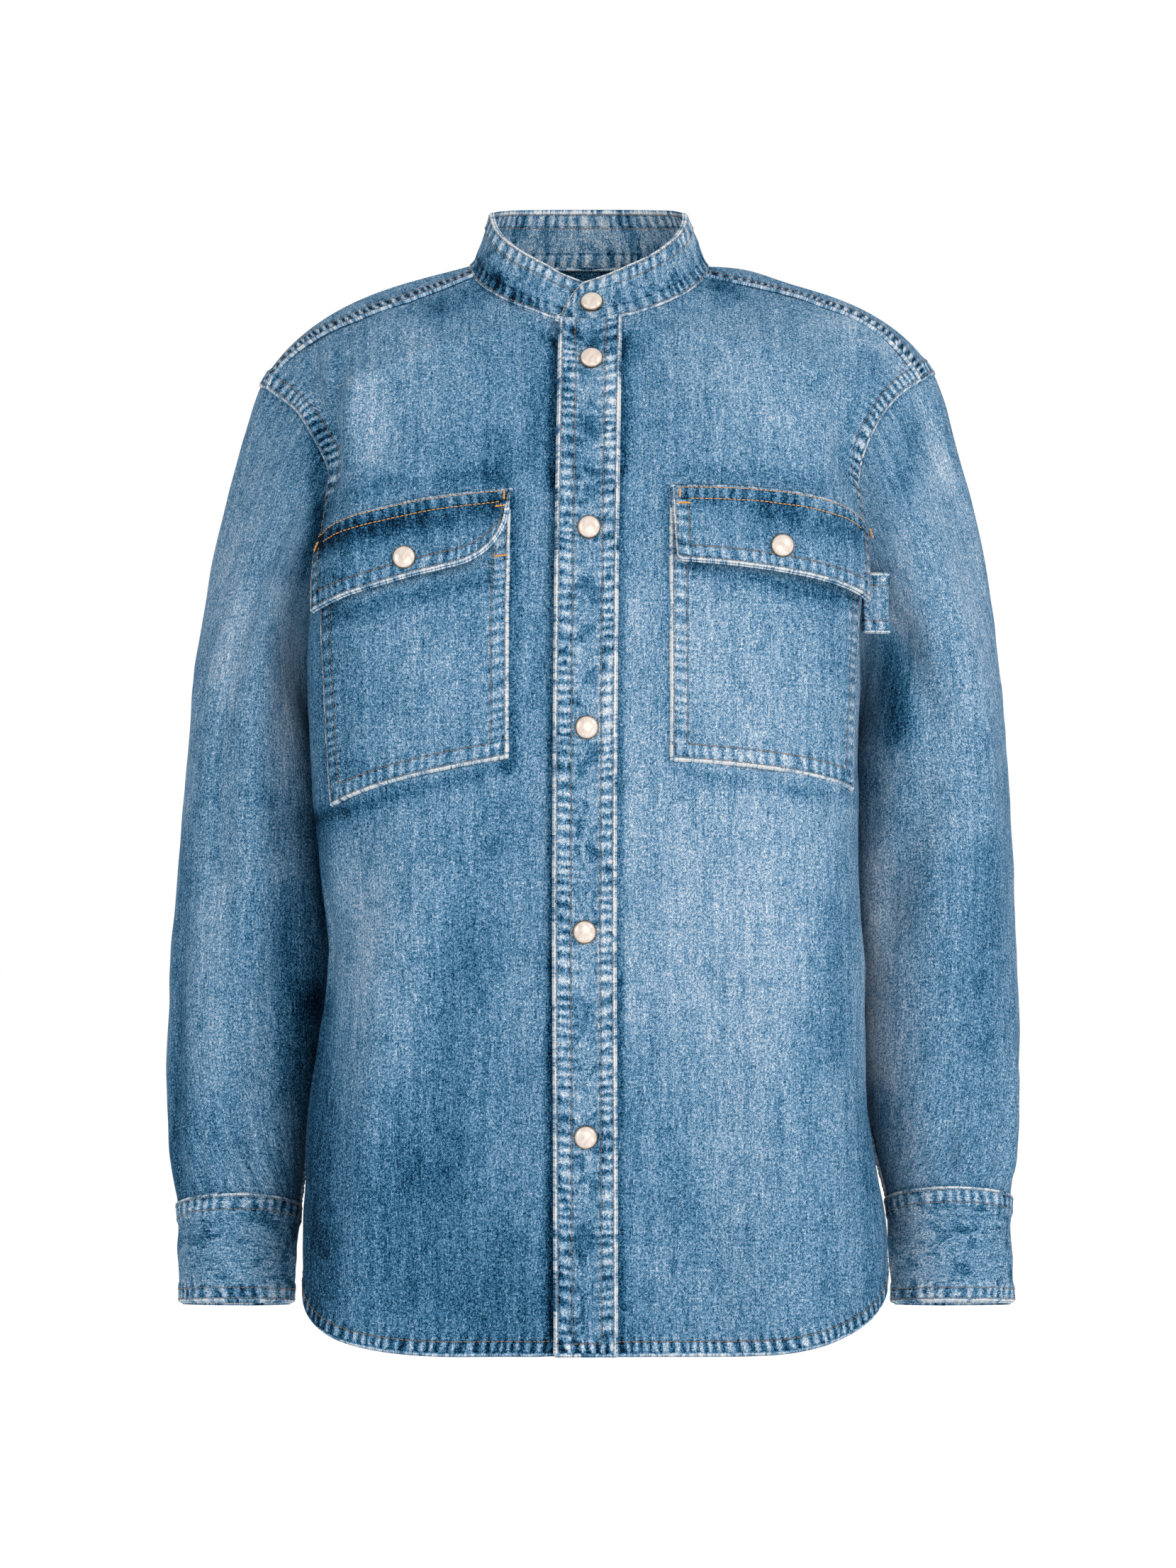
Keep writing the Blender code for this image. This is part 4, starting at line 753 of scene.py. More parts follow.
class Cloth:
    """One piece of cloth as a grid of points, with its grain, seams and stitches. Row 0 is its bottom."""

    def __init__(self, name, points, centre):
        self.name, self.points = name, points
        self.across = self.lengths(1)
        self.along = self.lengths(0)
        self.turn = 1.0
        self.normals = self.square()
        if np.einsum("ijk,ijk->", self.normals, points - centre) < 0:
            self.turn, self.normals = -1.0, -self.normals
        self.grain = self.woven()
        shape = points.shape[:2]
        self.drape, self.relief = np.zeros(shape), np.zeros(shape)
        # each of these for the nearest side seam, and for the nearest level one
        self.near = np.full((2,) + shape, FAR_OFF)
        self.phase, self.amount, self.worn = np.zeros((3, 2) + shape)
        self.fade = np.zeros(shape)
        self.stitches, self.tacks, self.seamed = [], [], set()

    def lengths(self, axis):
        steps = np.linalg.norm(np.diff(self.points, axis=axis), axis=2)
        pad = [(0, 0), (0, 0)]
        pad[axis] = (1, 0)
        return np.pad(np.cumsum(steps, axis=axis), pad)

    def woven(self):
        """Places along the weft and the warp, in mm of cloth, with the warp upright on the body."""
        if self.name.startswith("cuff"):  # cut across
            return np.stack([self.along, self.across * self.turn], axis=-1)
        if self.name.startswith("sleeve"):
            middle = self.across[:, self.points.shape[1] // 2, None]
            return np.stack([(self.across - middle) * self.turn, self.along], axis=-1)
        if self.name.startswith(("collar", "loop")):
            return np.stack([(self.across.mean(axis=0) + 0 * self.across) * self.turn, self.along], axis=-1)
        out = np.linalg.norm(np.diff(self.points, axis=1)[..., :2], axis=2)
        up = np.linalg.norm(np.diff(self.points, axis=0)[..., 1:], axis=2)
        start = self.points[:, :1, 0] * np.sign(self.points[0, -1, 0] - self.points[0, 0, 0])
        u = start + np.pad(np.cumsum(out, axis=1), ((0, 0), (1, 0)))
        v = self.points[:1, :, 2] + np.pad(np.cumsum(up, axis=0), ((1, 0), (0, 0)))
        return np.stack([u * self.turn, v], axis=-1)

    def square(self):
        by_row, by_column = np.gradient(self.points, axis=0), np.gradient(self.points, axis=1)
        return unit(np.cross(by_column, by_row))

    def to_side(self, side):
        """Distances from a side, and the lengths along it."""
        if side == "left":
            return self.across, self.along[:, 0]
        if side == "right":
            return self.across[:, -1:] - self.across, self.along[:, -1]
        if side == "bottom":
            return self.along, self.across[0]
        return self.along[-1:] - self.along, self.across[-1]

    def seam(self, side, kind, where=1.0, thread="brown", key=None, **over):
        """Sews a side: doubled cloth, puckers, a worn edge and its rows of stitches."""
        spec = {**dict(zip(SEAM_COLUMNS, SEAMS[kind])), **over}
        far, place = self.to_side(side)
        level = side in ("bottom", "top")
        where = np.broadcast_to(np.asarray(where, float), place.shape)
        mask = where[None, :] if level else where[:, None]
        key = len(self.name) + ord(side[0]) if key is None else key
        phase = wave(place, key, spec["pitch"])
        phase = (phase[None, :] if level else phase[:, None]) + SLANT * far
        wide, reach = spec["width"], spec["reach"]
        risen = spec["rise"] * (1 - ease(wide - 1.0, wide + 1.6, far)) * mask
        self.relief = np.where(np.abs(risen) > np.abs(self.relief), risen, self.relief)
        strength = ease(0.0, 2.0, far) * (1 - 0.7 * ease(wide - 1, wide + 1.5, far))
        strength = strength * (1 - ease(wide, wide + reach, far)) * mask
        uneven = 0.75 + 0.35 * np.sin(place / 23.0 + key)
        strength = strength * (uneven[None, :] if level else uneven[:, None])
        self.relief += spec["pucker"] * strength * np.sin(phase)
        self.stitches += [(side, row, where, thread, 1) for row in spec["rows"]]
        self.fade += spec["dye"] * mask * (1 - ease(wide - 1, wide + 3, far))
        i, inner = int(level), max([*spec["rows"], 0])
        far = far * (INNER_ROW / inner if inner > 5 else 1.0)
        closer = (far < self.near[i]) & (mask > 0.02)
        self.near[i] = np.where(closer, far, self.near[i])
        self.phase[i] = np.where(closer, phase, self.phase[i])
        self.amount[i] = np.where(closer, mask * spec["rope"], self.amount[i])
        self.worn[i] = np.where(closer, mask * spec["wear"], self.worn[i])
        self.seamed.add(side)
        return self

    def draped(self, amount):
        """Moves the whole thickness out by this much."""
        self.drape = self.drape + amount
        return self

    def surface(self, low):
        """Points on the outside (low is None) or at this height under the relief."""
        high = self.drape + (self.outside + self.relief if low is None else low)
        return self.points + self.normals * high[..., None]

    def built(self, kind, weld=None):
        """The piece as a closed shell with rounded edges, except where it is welded to another."""
        self.outside, self.inside, two, _ = SHELLS[kind]
        kinds = RIM_OF_TWO if two else RIM_OF_ONE
        outer, inner = self.surface(None), self.surface(self.inside)
        rows, columns = self.points.shape[:2]
        count, index = rows * columns, np.arange(rows * columns).reshape(rows, columns)
        ring = np.concatenate([index[0, :-1], index[:-1, -1], index[-1, :0:-1], index[:0:-1, 0]])
        r, c = np.divmod(ring, columns)
        behind = (np.clip(r, 1, rows - 2), np.clip(c, 1, columns - 2))
        away = unit(self.points[r, c] - self.points[behind])
        thick = np.linalg.norm(outer[r, c] - inner[r, c], axis=1)[:, None]
        rims = [outer[r, c] * (1 - deep) + inner[r, c] * deep + away * thick * out for deep, out, _ in kinds]
        points = np.vstack([outer.reshape(-1, 3), inner.reshape(-1, 3), *rims])
        corners = (index[:-1, :-1], index[:-1, 1:], index[1:, 1:], index[1:, :-1])
        quads = np.stack(corners, axis=-1).reshape(-1, 4)[:, :: int(self.turn)]
        bands = [ring, *(2 * count + np.arange(len(rims) * len(ring)).reshape(len(rims), -1)), ring + count]
        kept = np.ones(len(ring), bool)
        if weld is not None:
            kept = ~(weld.reshape(-1)[ring] & np.roll(weld.reshape(-1)[ring], -1))
        rim = np.vstack([
            np.stack([upper, np.roll(upper, -1), np.roll(lower, -1), lower], axis=1)[kept]
            for upper, lower in zip(bands, bands[1:])
        ])
        self.mesh = (points, np.vstack([quads, quads[:, ::-1] + count, rim[:, :: -int(self.turn)]]))
        self.values = self.written(ring, kinds, two)
        return self

    def written(self, ring, kinds, two):
        """The values that the denim reads at every point: the outer skin's, the inner one's and the rims'."""
        yoke = self.name == "yoke"
        near = np.minimum(self.near, TOP_WORN)
        place = np.full(self.fade.shape, 37.0 * len(self.name))
        values = {
            "grain": np.dstack([self.grain, place]),
            "seam": np.dstack([near[0], self.phase[0], near[1], self.phase[1]]),
            "sewn": np.dstack([self.amount[0], self.worn[0], self.amount[1], self.worn[1]]),
            "tone": np.dstack([self.fade, self.relief, 1 + 0 * self.fade]),
        }
        values = {word: data.reshape(-1, data.shape[2]) for word, data in values.items()}
        under = {word: data.copy() for word, data in values.items()}
        under["tone"][:, 2] = 1 if two or yoke else 0
        # painted shade: the yoke's inner side, seen inside the neck, is darkened
        under["tone"][:, 0] += YOKE_INSIDE_SHADE if yoke else 0
        tails = {word: [data[ring].copy() for _ in kinds] for word, data in values.items()}
        # each rim ring takes its dye: painted shade in a groove, painted shadow under the edge
        for tail, (_, _, dye) in zip(tails["tone"], kinds):
            tail[:, 0] += dye
        return {word: np.vstack([data, under[word], *tails[word]]) for word, data in values.items()}

    def line(self, side, row, where, skin):
        """Places and normals of a row of stitches."""
        far, _ = self.to_side(side)
        outer = self.surface(None) if skin > 0 else self.surface(self.inside)
        level = side in ("bottom", "top")
        ends = ("left", "right") if level else ("bottom", "top")
        grids = [far, outer, self.normals * skin, *(self.to_side(end)[0] for end in ends)]
        if level:
            grids = [np.swapaxes(g, 0, 1) for g in grids]
        found = []
        for k in np.flatnonzero(where > 0.5):
            order = np.argsort(grids[0][k])
            at = grids[0][k][order]
            values = [[np.interp(row, at, g[k][order, n]) for n in range(3)] for g in grids[1:3]]
            clear = [np.interp(row, at, g[k][order]) for g in grids[3:]]
            if all(c >= row - 0.4 for c, end in zip(clear, ends) if end in self.seamed):
                found.append(values)
        return np.array(found).reshape(-1, 2, 3)


def made(name, points, quads, values=None, material=None):
    """A smooth mesh object from points in millimetres."""
    mesh = bpy.data.meshes.new(name)
    mesh.from_pydata(points * MM, [], quads)
    mesh.update()
    mesh.shade_smooth()
    for word, data in (values or {}).items():
        kind, key = ("FLOAT_COLOR", "color") if data.shape[1] == 4 else ("FLOAT_VECTOR", "vector")
        layer = mesh.attributes.new(word, kind, "POINT")
        layer.data.foreach_set(key, data.astype(np.float32).ravel())
    if material:
        mesh.materials.append(material)
    built = bpy.data.objects.new(name, mesh)
    bpy.context.scene.collection.objects.link(built)
    return built


def welded(parts):
    """Several shells as one, with equal points made one."""
    points, quads, values = [], [], {}
    for part in parts:
        quads.append(part.mesh[1] + sum(len(p) for p in points))
        points.append(part.mesh[0])
        for word, data in part.values.items():
            values.setdefault(word, []).append(data)
    points, quads = np.vstack(points), np.vstack(quads)
    _, first, index = np.unique(np.round(points, 3), axis=0, return_index=True, return_inverse=True)
    return points[first], index.reshape(-1)[quads], {w: np.vstack(d)[first] for w, d in values.items()}


def sewn(name, lines, thread):
    """Stitches along lines of places and normals, as one piece."""
    starts, ends, ups = [], [], []
    for line in lines:
        if len(line) < 2:
            continue
        places, normals = line[:, 0], line[:, 1]
        along = np.concatenate([[0], np.cumsum(np.linalg.norm(np.diff(places, axis=0), axis=1))])
        count = int(along[-1] // (STITCH + STITCH_GAP))
        begin = np.arange(count) * (STITCH + STITCH_GAP) + STITCH_GAP / 2
        at = ((starts, begin, places), (ends, begin + STITCH, places), (ups, begin + STITCH / 2, normals))
        for found, places_along, grid in at:
            found.append(np.stack([np.interp(places_along, along, grid[:, k]) for k in range(3)], axis=1))
    return strands(name, np.vstack(starts), np.vstack(ends), np.vstack(ups), STITCH_RADIUS, thread)


def strands(name, a, b, up, r, thread):
    """Short strands of thread between two sets of points, each raised in its middle."""
    way = unit(b - a)
    side = unit(np.cross(way, unit(up)))
    up = np.cross(side, way)
    sections = ((0.0, -0.35, 0.65), (0.5, 0.40, 1.0), (1.0, -0.35, 0.65))
    corners = ((1, 0), (0, 1), (-1, 0), (0, -1))
    points = np.array([
        [a + (b - a) * t + up * (h * r + v * r * s) + side * (u * r * s) for u, v in corners]
        for t, h, s in sections
    ])
    points = points.transpose(2, 0, 1, 3).reshape(-1, 3)
    nexts = (1, 2, 3, 0, 5, 6, 7, 4)
    quads = [(j, j + 4, n + 4, n) for j, n in enumerate(nexts)] + [(0, 1, 2, 3), (11, 10, 9, 8)]
    quads = (np.arange(len(a))[:, None, None] * 12 + np.array(quads)[None]).reshape(-1, 4)
    return made(name, points, quads, None, thread)


# ---- materials ----


def srgb(*levels):
    """A colour on the eye's scale of 0 to 255, as the shader wants it."""
    return tuple(((v / 255 + 0.055) / 1.055) ** 2.4 if v > 10 else v / 255 / 12.92 for v in levels)


class Shading:
    """A material and short words for its nodes."""

    def __init__(self, name, roughness, **values):
        self.material = bpy.data.materials.new(name)
        self.material.use_nodes = True
        self.tree = self.material.node_tree
        self.shader = self.tree.nodes["Principled BSDF"]
        self.shader.inputs["Roughness"].default_value = roughness
        for word, value in values.items():
            self.shader.inputs[word.replace("_", " ")].default_value = value

    def node(self, kind, **inputs):
        node = self.tree.nodes.new(kind)
        for word, value in inputs.items():
            self.feed(node.inputs[word.replace("_", " ")], value)
        return node

    def feed(self, socket, value):
        if isinstance(value, bpy.types.NodeSocket):
            self.tree.links.new(value, socket)
        else:
            socket.default_value = value

    def calc(self, operation, *values):
        node = self.tree.nodes.new("ShaderNodeMath")
        node.operation = operation
        for socket, value in zip(node.inputs, values):
            self.feed(socket, value)
        return node.outputs[0]

    def times(self, value, by):
        return self.calc("MULTIPLY", value, by)

    def total(self, *values):
        result = values[0]
        for value in values[1:]:
            result = self.calc("ADD", result, value)
        return result

    def weighed(self, *pairs):
        return [self.times(value, weight) for value, weight in pairs]

    def distance(self, value, to):
        return self.calc("ABSOLUTE", self.calc("SUBTRACT", value, to))

    def scaled(self, vector, by):
        node = self.tree.nodes.new("ShaderNodeVectorMath")
        node.operation = "MULTIPLY"
        self.feed(node.inputs[0], vector)
        self.feed(node.inputs[1], by)
        return node.outputs[0]

    def noise(self, vector, detail=2.0, rough=0.5, distortion=0.0):
        """Noise around 0, mostly from -1 to 1."""
        node = self.node("ShaderNodeTexNoise", Vector=vector, Scale=1.0, Detail=detail, Roughness=rough)
        self.feed(node.inputs["Distortion"], distortion)
        return self.calc("MULTIPLY_ADD", node.outputs["Fac"], 4.0, -2.0)

    def attribute(self, name):
        node = self.tree.nodes.new("ShaderNodeAttribute")
        node.attribute_name = name
        return node.outputs

    def parts(self, vector):
        return self.node("ShaderNodeSeparateXYZ", Vector=vector).outputs

    def within(self, value, low, high, start=0.0, stop=1.0):
        """start below low, stop above high, and smooth between them."""
        ends = dict(From_Min=low, From_Max=high, To_Min=start, To_Max=stop)
        node = self.node("ShaderNodeMapRange", Value=value, **ends)
        node.interpolation_type = "SMOOTHSTEP"
        return node.outputs[0]

    def ramp(self, value, stops):
        node = self.node("ShaderNodeValToRGB", Fac=value)
        ends = node.color_ramp.elements
        for place, _ in stops[2:]:
            ends.new(place)
        for end, (place, colour) in zip(ends, sorted(stops)):
            end.position, end.color = place, (*colour, 1)
        return node.outputs[0]

    def bump(self, height, distance):
        node = self.node("ShaderNodeBump", Height=height, Distance=distance, Strength=1.0)
        self.feed(self.shader.inputs["Normal"], node.outputs[0])


LIT = 1.96  # how strong the studio's light is
# The denim's colours as they are seen in it, from its darkest to its most worn, and those of its inner side
INDIGO = (
    (0.06, (1, 14, 32)),
    (0.15, (6, 42, 68)),
    (0.26, (20, 74, 107)),
    (0.38, (52, 105, 140)),
    (0.50, (88, 134, 168)),
    (0.62, (126, 162, 192)),
    (0.73, (164, 188, 210)),
    (0.85, (206, 216, 224)),
    (0.95, (236, 238, 238)),
)
UNDYED = ((0.2, (84, 104, 128)), (0.8, (190, 200, 208)))
PEARL = ((0.0, (204, 182, 164)), (0.5, (228, 212, 198)), (1.0, (244, 236, 228)))
BRASS = ((0.0, (92, 74, 58)), (1.0, (176, 152, 124)))
# The denim's noise: its waves per mm along the weft and the warp, its detail, roughness and twist, and how
# much it lightens the dye; a look's clouds say that of the patches
LAYERS = dict(
    yarn=(1.45, 1.15, 1.0, 0.6, 0.0, 0.22),
    grit=(0.74, 0.60, 1.0, 0.6, 0.0, 0.20),
    slub=(1.10, 0.085, 2.0, 0.6, 0.0, 0.110),
    broad=(0.20, 0.013, 1.0, 0.5, 0.0, 0.055),
    mottle=(0.36, 0.22, 3.0, 0.65, 0.0, 0.115),
    patch=(0.085, 0.055, 3.0, 0.6, 0.6, 0.0),
    cloud=(0.022, 0.016, 2.0, 0.5, 0.0, 0.040),
)
# The two looks: their middle value, clouds, crackle of fine veins, and roping at the seams
LOOKS = dict(plain=("denim", 0.50, 0.050, 0.035, 0.105), sewn=("denim_sewn", 0.50, 0.185, 0.11, 0.165))
TWILL = (4.1, -3.69)  # the slant lines of the weave, in radians per mm along the weft and the warp


def dyed(stops):
    return tuple((place, tuple(c / LIT for c in srgb(*colour))) for place, colour in stops)


def denim(name, tone, clouds, crackle, rope):
    """Washed denim: its grain, wear, roped seams and worn edges, painted shade in the stitch grooves, and the
    painted light and shade carried in the tone attribute. Values are as bright as they look.
    """
    s = Shading(name, 0.92, Specular_IOR_Level=0.05)
    grain = s.attribute("grain")["Vector"]
    fade, relief, face = s.parts(s.attribute("tone")["Vector"])
    noise = {
        word: s.noise(s.scaled(grain, (across, along, 1)), detail, rough, twist)
        for word, (across, along, detail, rough, twist, _) in LAYERS.items()
    }
    yarn, slub, mottle, patch = (noise[word] for word in ("yarn", "slub", "mottle", "patch"))
    veins = s.within(s.calc("ABSOLUTE", patch), 0.0, 0.22, 1.0, 0.0)
    u, v, _ = s.parts(grain)
    twill = s.calc("SINE", s.total(*s.weighed((u, TWILL[0]), (v, TWILL[1]), (yarn, 0.8))))
    light = {word: layer[-1] for word, layer in LAYERS.items()} | dict(patch=clouds)
    layers = ((noise[word], light[word]) for word in LAYERS)
    value = s.total(
        s.calc("ADD", fade, tone),
        *s.weighed(*layers, (veins, crackle), (twill, 0.040), (relief, 0.045)),
    )
    grooves = 0.0
    for far, phase, amount, worn in seams_read(s):
        waved = s.total(phase, *s.weighed((mottle, 0.9), (patch, 1.2)))
        band = s.times(s.within(far, 1.2, 2.6), s.within(far, 9.6, 11.6, 1.0, 0.40))
        band = s.times(band, s.within(far, 11.6, 20.0, 1.0, 0.0))
        bars = s.times(s.times(s.calc("SINE", waved), band), s.times(amount, rope))
        edge = s.times(s.within(far, 0.5, 1.4, 1.0, 0.0), worn)
        edge = s.times(edge, s.calc("MULTIPLY_ADD", s.calc("ADD", mottle, patch), 0.22, 0.29))
        # Painted shade: the stitch rows and a line beside the worn edge are darkened as grooves, which the
        # bump also sinks
        inner = s.within(s.distance(far, INNER_ROW), 0.3, 1.3, 1.0, 0.0)
        groove = s.times(inner, s.within(amount, 0.3, 0.7))
        groove = s.calc("ADD", groove, s.times(s.within(s.distance(far, 2.3), 0.3, 1.2, 0.7, 0.0), worn))
        value = s.total(value, bars, edge, s.times(groove, -0.12))
        grooves = s.calc("ADD", grooves, groove)
    mixed = s.node("ShaderNodeMix")
    mixed.data_type = "RGBA"
    s.feed(mixed.inputs["Factor"], s.within(face, 0.4, 0.6))
    s.feed(mixed.inputs["A"], s.ramp(value, dyed(UNDYED)))
    s.feed(mixed.inputs["B"], s.ramp(value, dyed(INDIGO)))
    s.feed(s.shader.inputs["Base Color"], mixed.outputs["Result"])
    heights = ((twill, 0.10), (slub, 0.14), (yarn, 0.22), (mottle, 0.35), (patch, 0.5), (grooves, -0.8))
    s.bump(s.total(*s.weighed(*heights)), 0.0004)
    return s.material


def seams_read(s):
    """The distance, phase, roping and wear of the nearest side seam, and of the nearest level one."""
    seam, sewn_here = s.attribute("seam"), s.attribute("sewn")
    near, made_up = s.parts(seam["Vector"]), s.parts(sewn_here["Vector"])
    return (
        (near[0], near[1], made_up[0], made_up[1]),
        (near[2], seam["Alpha"], made_up[2], sewn_here["Alpha"]),
    )


def thread(name, colour):
    s = Shading(name, 0.62, Specular_IOR_Level=0.3, Sheen_Weight=0.2)
    place = s.node("ShaderNodeTexCoord").outputs["Object"]
    ply = s.noise(s.scaled(place, (1400, 1400, 1400)), 2.0)
    patches = s.noise(s.scaled(place, (60, 60, 60)), 2.0)
    value = s.calc("MULTIPLY_ADD", s.total(*s.weighed((ply, 0.25), (patches, 0.30))), 0.5, 0.5)
    dark, light = (tuple(c * f for c in colour) for f in (0.55, 1.55))
    s.feed(s.shader.inputs["Base Color"], s.ramp(value, ((0.0, dark), (1.0, light))))
    s.bump(ply, 0.0001)
    return s.material


def pearl():
    """The snaps' caps: pearly plastic with soft swirls."""
    s = Shading("pearl", 0.20, Specular_IOR_Level=0.7, Coat_Weight=0.8, Coat_Roughness=0.04)
    place = s.node("ShaderNodeTexCoord").outputs["Object"]
    swirl = s.noise(s.scaled(place, (190, 190, 120)), 3.0, 0.5, 1.8)
    value = s.calc("MULTIPLY_ADD", swirl, 0.34, 0.5)
    s.feed(s.shader.inputs["Base Color"], s.ramp(value, dyed(PEARL)))
    return s.material


def metal():
    s = Shading("snap_rim", 0.30, Metallic=1.0)
    place = s.node("ShaderNodeTexCoord").outputs["Object"]
    worn = s.noise(s.scaled(place, (900, 900, 900)), 2.0)
    value = s.calc("MULTIPLY_ADD", worn, 0.3, 0.5)
    s.feed(s.shader.inputs["Base Color"], s.ramp(value, dyed(BRASS)))
    return s.material


# ---- the pieces ----


def waves(grain, size, seed, count=18):
    """Soft unevenness of about this wavelength, around 0."""
    random = np.random.default_rng(seed)
    angle, phase = random.uniform(0, math.pi, count), random.uniform(0, 2 * math.pi, count)
    pitch = size * random.uniform(0.7, 1.5, count)
    total = 0
    for a, p, w in zip(angle, phase, pitch):
        along = grain[..., 0] * math.cos(a) + grain[..., 1] * math.sin(a)
        total = total + np.sin(along * 2 * math.pi / w + p)
    return total / math.sqrt(count / 2)


def faded_and_shaded(cloth):
    """Adds the table's lighter and darker strokes to a piece: worn and dark places of the cloth, and painted
    light and shade.
    """
    x, y, z = np.moveaxis(cloth.points, -1, 0)
    ahead = ease(12, -22, y)
    for x0, z0, x1, z1, width, amount, on in FADES_AND_SHADES["rows"]:
        if on != "behind" and not cloth.name.startswith(on):
            continue
        way = np.array([x1 - x0, z1 - z0], float)
        share = np.clip(((x - x0) * way[0] + (z - z0) * way[1]) / (way @ way), 0, 1)
        away = np.hypot(x - x0 - way[0] * share, z - z0 - way[1] * share)
        cloth.fade += amount * np.exp(-((away / width) ** 2)) * (1 - ahead if on == "behind" else ahead)
    return cloth


def settle(cloth, kind, side=0):
    """The small unevenness of washed cloth."""
    seed, sizes, depths = SETTLED[kind]
    for n, (size, depth) in enumerate(zip(sizes, depths)):
        cloth.draped(depth * waves(cloth.grain, size, seed + side + n))
    return faded_and_shaded(cloth)


def front_rows(v_from, v_to):
    lengths = (
        (0, V_ARMPIT, HEM_TO_ARMPIT, True, False),
        (V_ARMPIT, V_NECK, ARMPIT_TO_NECK, False, False),
        (V_NECK, 1, BESIDE_NECK, False, True),
    )
    rows = [np.array([v_from])]
    for a, b, length, start, stop in lengths:
        part = (a + (b - a) * shares(length, STEP, start, stop))[1:]
        rows.append(part[(part > v_from) & (part <= v_to)])
    return np.concatenate(rows)


def front(side):
    rows = front_rows(0, 1)
    near = np.linspace(0, PLACKET_WIDTH, 12)
    rest = shares(FRONT_WIDE, STEP, False, True)[1:]
    grid = []
    for v in rows:
        line = front_line(side, v)
        length = np.linalg.norm(np.diff(line, axis=0), axis=1).sum()
        columns = np.concatenate([near, near[-1] + (length - near[-1]) * rest])
        even = np.concatenate([near, near[-1] + FRONT_WIDE * rest]) / (near[-1] + FRONT_WIDE) * length
        share = ease(V_NECK, 1, v)
        grid.append(evenly(line, (columns * (1 - share) + even * share) / length))
    grid = np.array(grid)
    if side == LEFT:
        grid = drifted(grid)
        grid[..., 0] += UNDER_PLACKET * ease(-14, -PLACKET_EDGE, grid[..., 0])
    cloth = Cloth(f"front_{SIDES[side]}", grid, BODY_MIDDLE)
    high = ease(V_ARMPIT - 0.004, V_ARMPIT + 0.004, rows)
    cloth.seam("bottom", "hem").seam("right", "under", 1 - high).seam("right", "lap", high)
    cloth.seam("top", "under", pucker=0.4)
    cloth.seam("left", "under", ease(V_NECK, V_NECK + 0.01, rows), pucker=0.35)
    off_seam = 1 - high[:, None] * (1 - ease(1.5, 12, cloth.to_side("right")[0]))
    cloth.draped(raised(cloth.points, CREASES) * off_seam)
    return settle(cloth, "front", side), rows


def back():
    rows = np.concatenate([
        V_ARMPIT * shares(HEM_TO_ARMPIT, STEP_BACK, True, False),
        (V_ARMPIT + (V_YOKE - V_ARMPIT) * shares(ARMPIT_TO_YOKE, STEP_BACK, False, True))[1:],
    ])
    across = shares(BACK_WIDE, STEP_BACK, False, True)
    halves = [body_folds(np.array([back_row(side, v, across) for v in rows])) for side in (RIGHT, LEFT)]
    cloth = Cloth("back", np.hstack([halves[0][:, ::-1], halves[1][:, 1:]]), BODY_MIDDLE)
    cloth.seam("bottom", "hem", key=11).seam("top", "under", pucker=0.4)
    cloth.seam("left", "lap").seam("right", "lap")
    cloth.draped(raised(cloth.points, CREASES))
    return settle(cloth, "back"), rows


def yoke():
    rows = np.concatenate([
        V_YOKE + (V_BACK_NECK - V_YOKE) * shares(YOKE_BEHIND, STEP, True, False),
        (V_BACK_NECK + (1 - V_BACK_NECK) * shares(YOKE_OVER, STEP, False, True))[1:],
    ])
    across = shares(YOKE_WIDE, STEP, False, True)
    halves, lap = {}, np.linspace(0, 1, round(5 / COARSE) + 1)[1:]
    for side in SIDES:
        points = body_folds(np.array([back_row(side, v, across) for v in rows]))
        keys = np.linspace(1, V_NECK + 0.03, 20)
        ahead = np.array([evenly(front_line(side, v), across) for v in keys])
        points[-1] = ahead[0]
        low = np.interp(across, *YOKE_LAP[side])
        more = [
            [
                [np.interp(z, ahead[::-1, j, 2], ahead[::-1, j, k]) for k in range(3)]
                for j, z in enumerate(ahead[0, :, 2] - low * share)
            ]
            for share in lap
        ]
        cloth = Cloth("yoke", np.vstack([points, more]), BODY_MIDDLE)
        cloth.draped(YOKE_LAP_HIGH * ease(0, 3, cloth.along - cloth.along[len(points) - 1]))
        halves[side] = cloth
    joined = np.append(rows <= V_BACK_NECK + 1e-6, np.zeros(len(lap), bool))
    middle = unit(halves[RIGHT].normals[:, 0] + halves[LEFT].normals[:, 0])
    for side, cloth in halves.items():
        cloth.normals[joined, 0] = middle[joined]
        cloth.seam("bottom", "lap", key=3 + side).seam("top", "shoulder", key=8 + side)
        cloth.seam("right", "lap", key=5 + side).seam("left", "under", 1.0 * ~joined, pucker=0.3)
        cloth.seamed.discard("left")
        faded_and_shaded(cloth)
    return halves, rows, joined


def fold_height(side, turns, heights):
    moved = np.zeros(np.broadcast(turns, heights).shape)
    places = np.stack(np.broadcast_arrays(turns, heights), axis=-1).reshape(-1, 2)
    for rows in (SLEEVE_FOLDS["rows"], SLEEVE_CREASES["rows"]):
        for fold_side, turn0, z0, turn1, z1, width, height in rows:
            if fold_side == side:
                moved += (ridge(places, (turn0, z0), (turn1, z1), width) * height).reshape(moved.shape)
    return moved


def off_middle(rings, centres):
    """Directions out from a sleeve's middle, mostly level."""
    return unit((rings - centres) * np.array([1, 1, 0.3]))


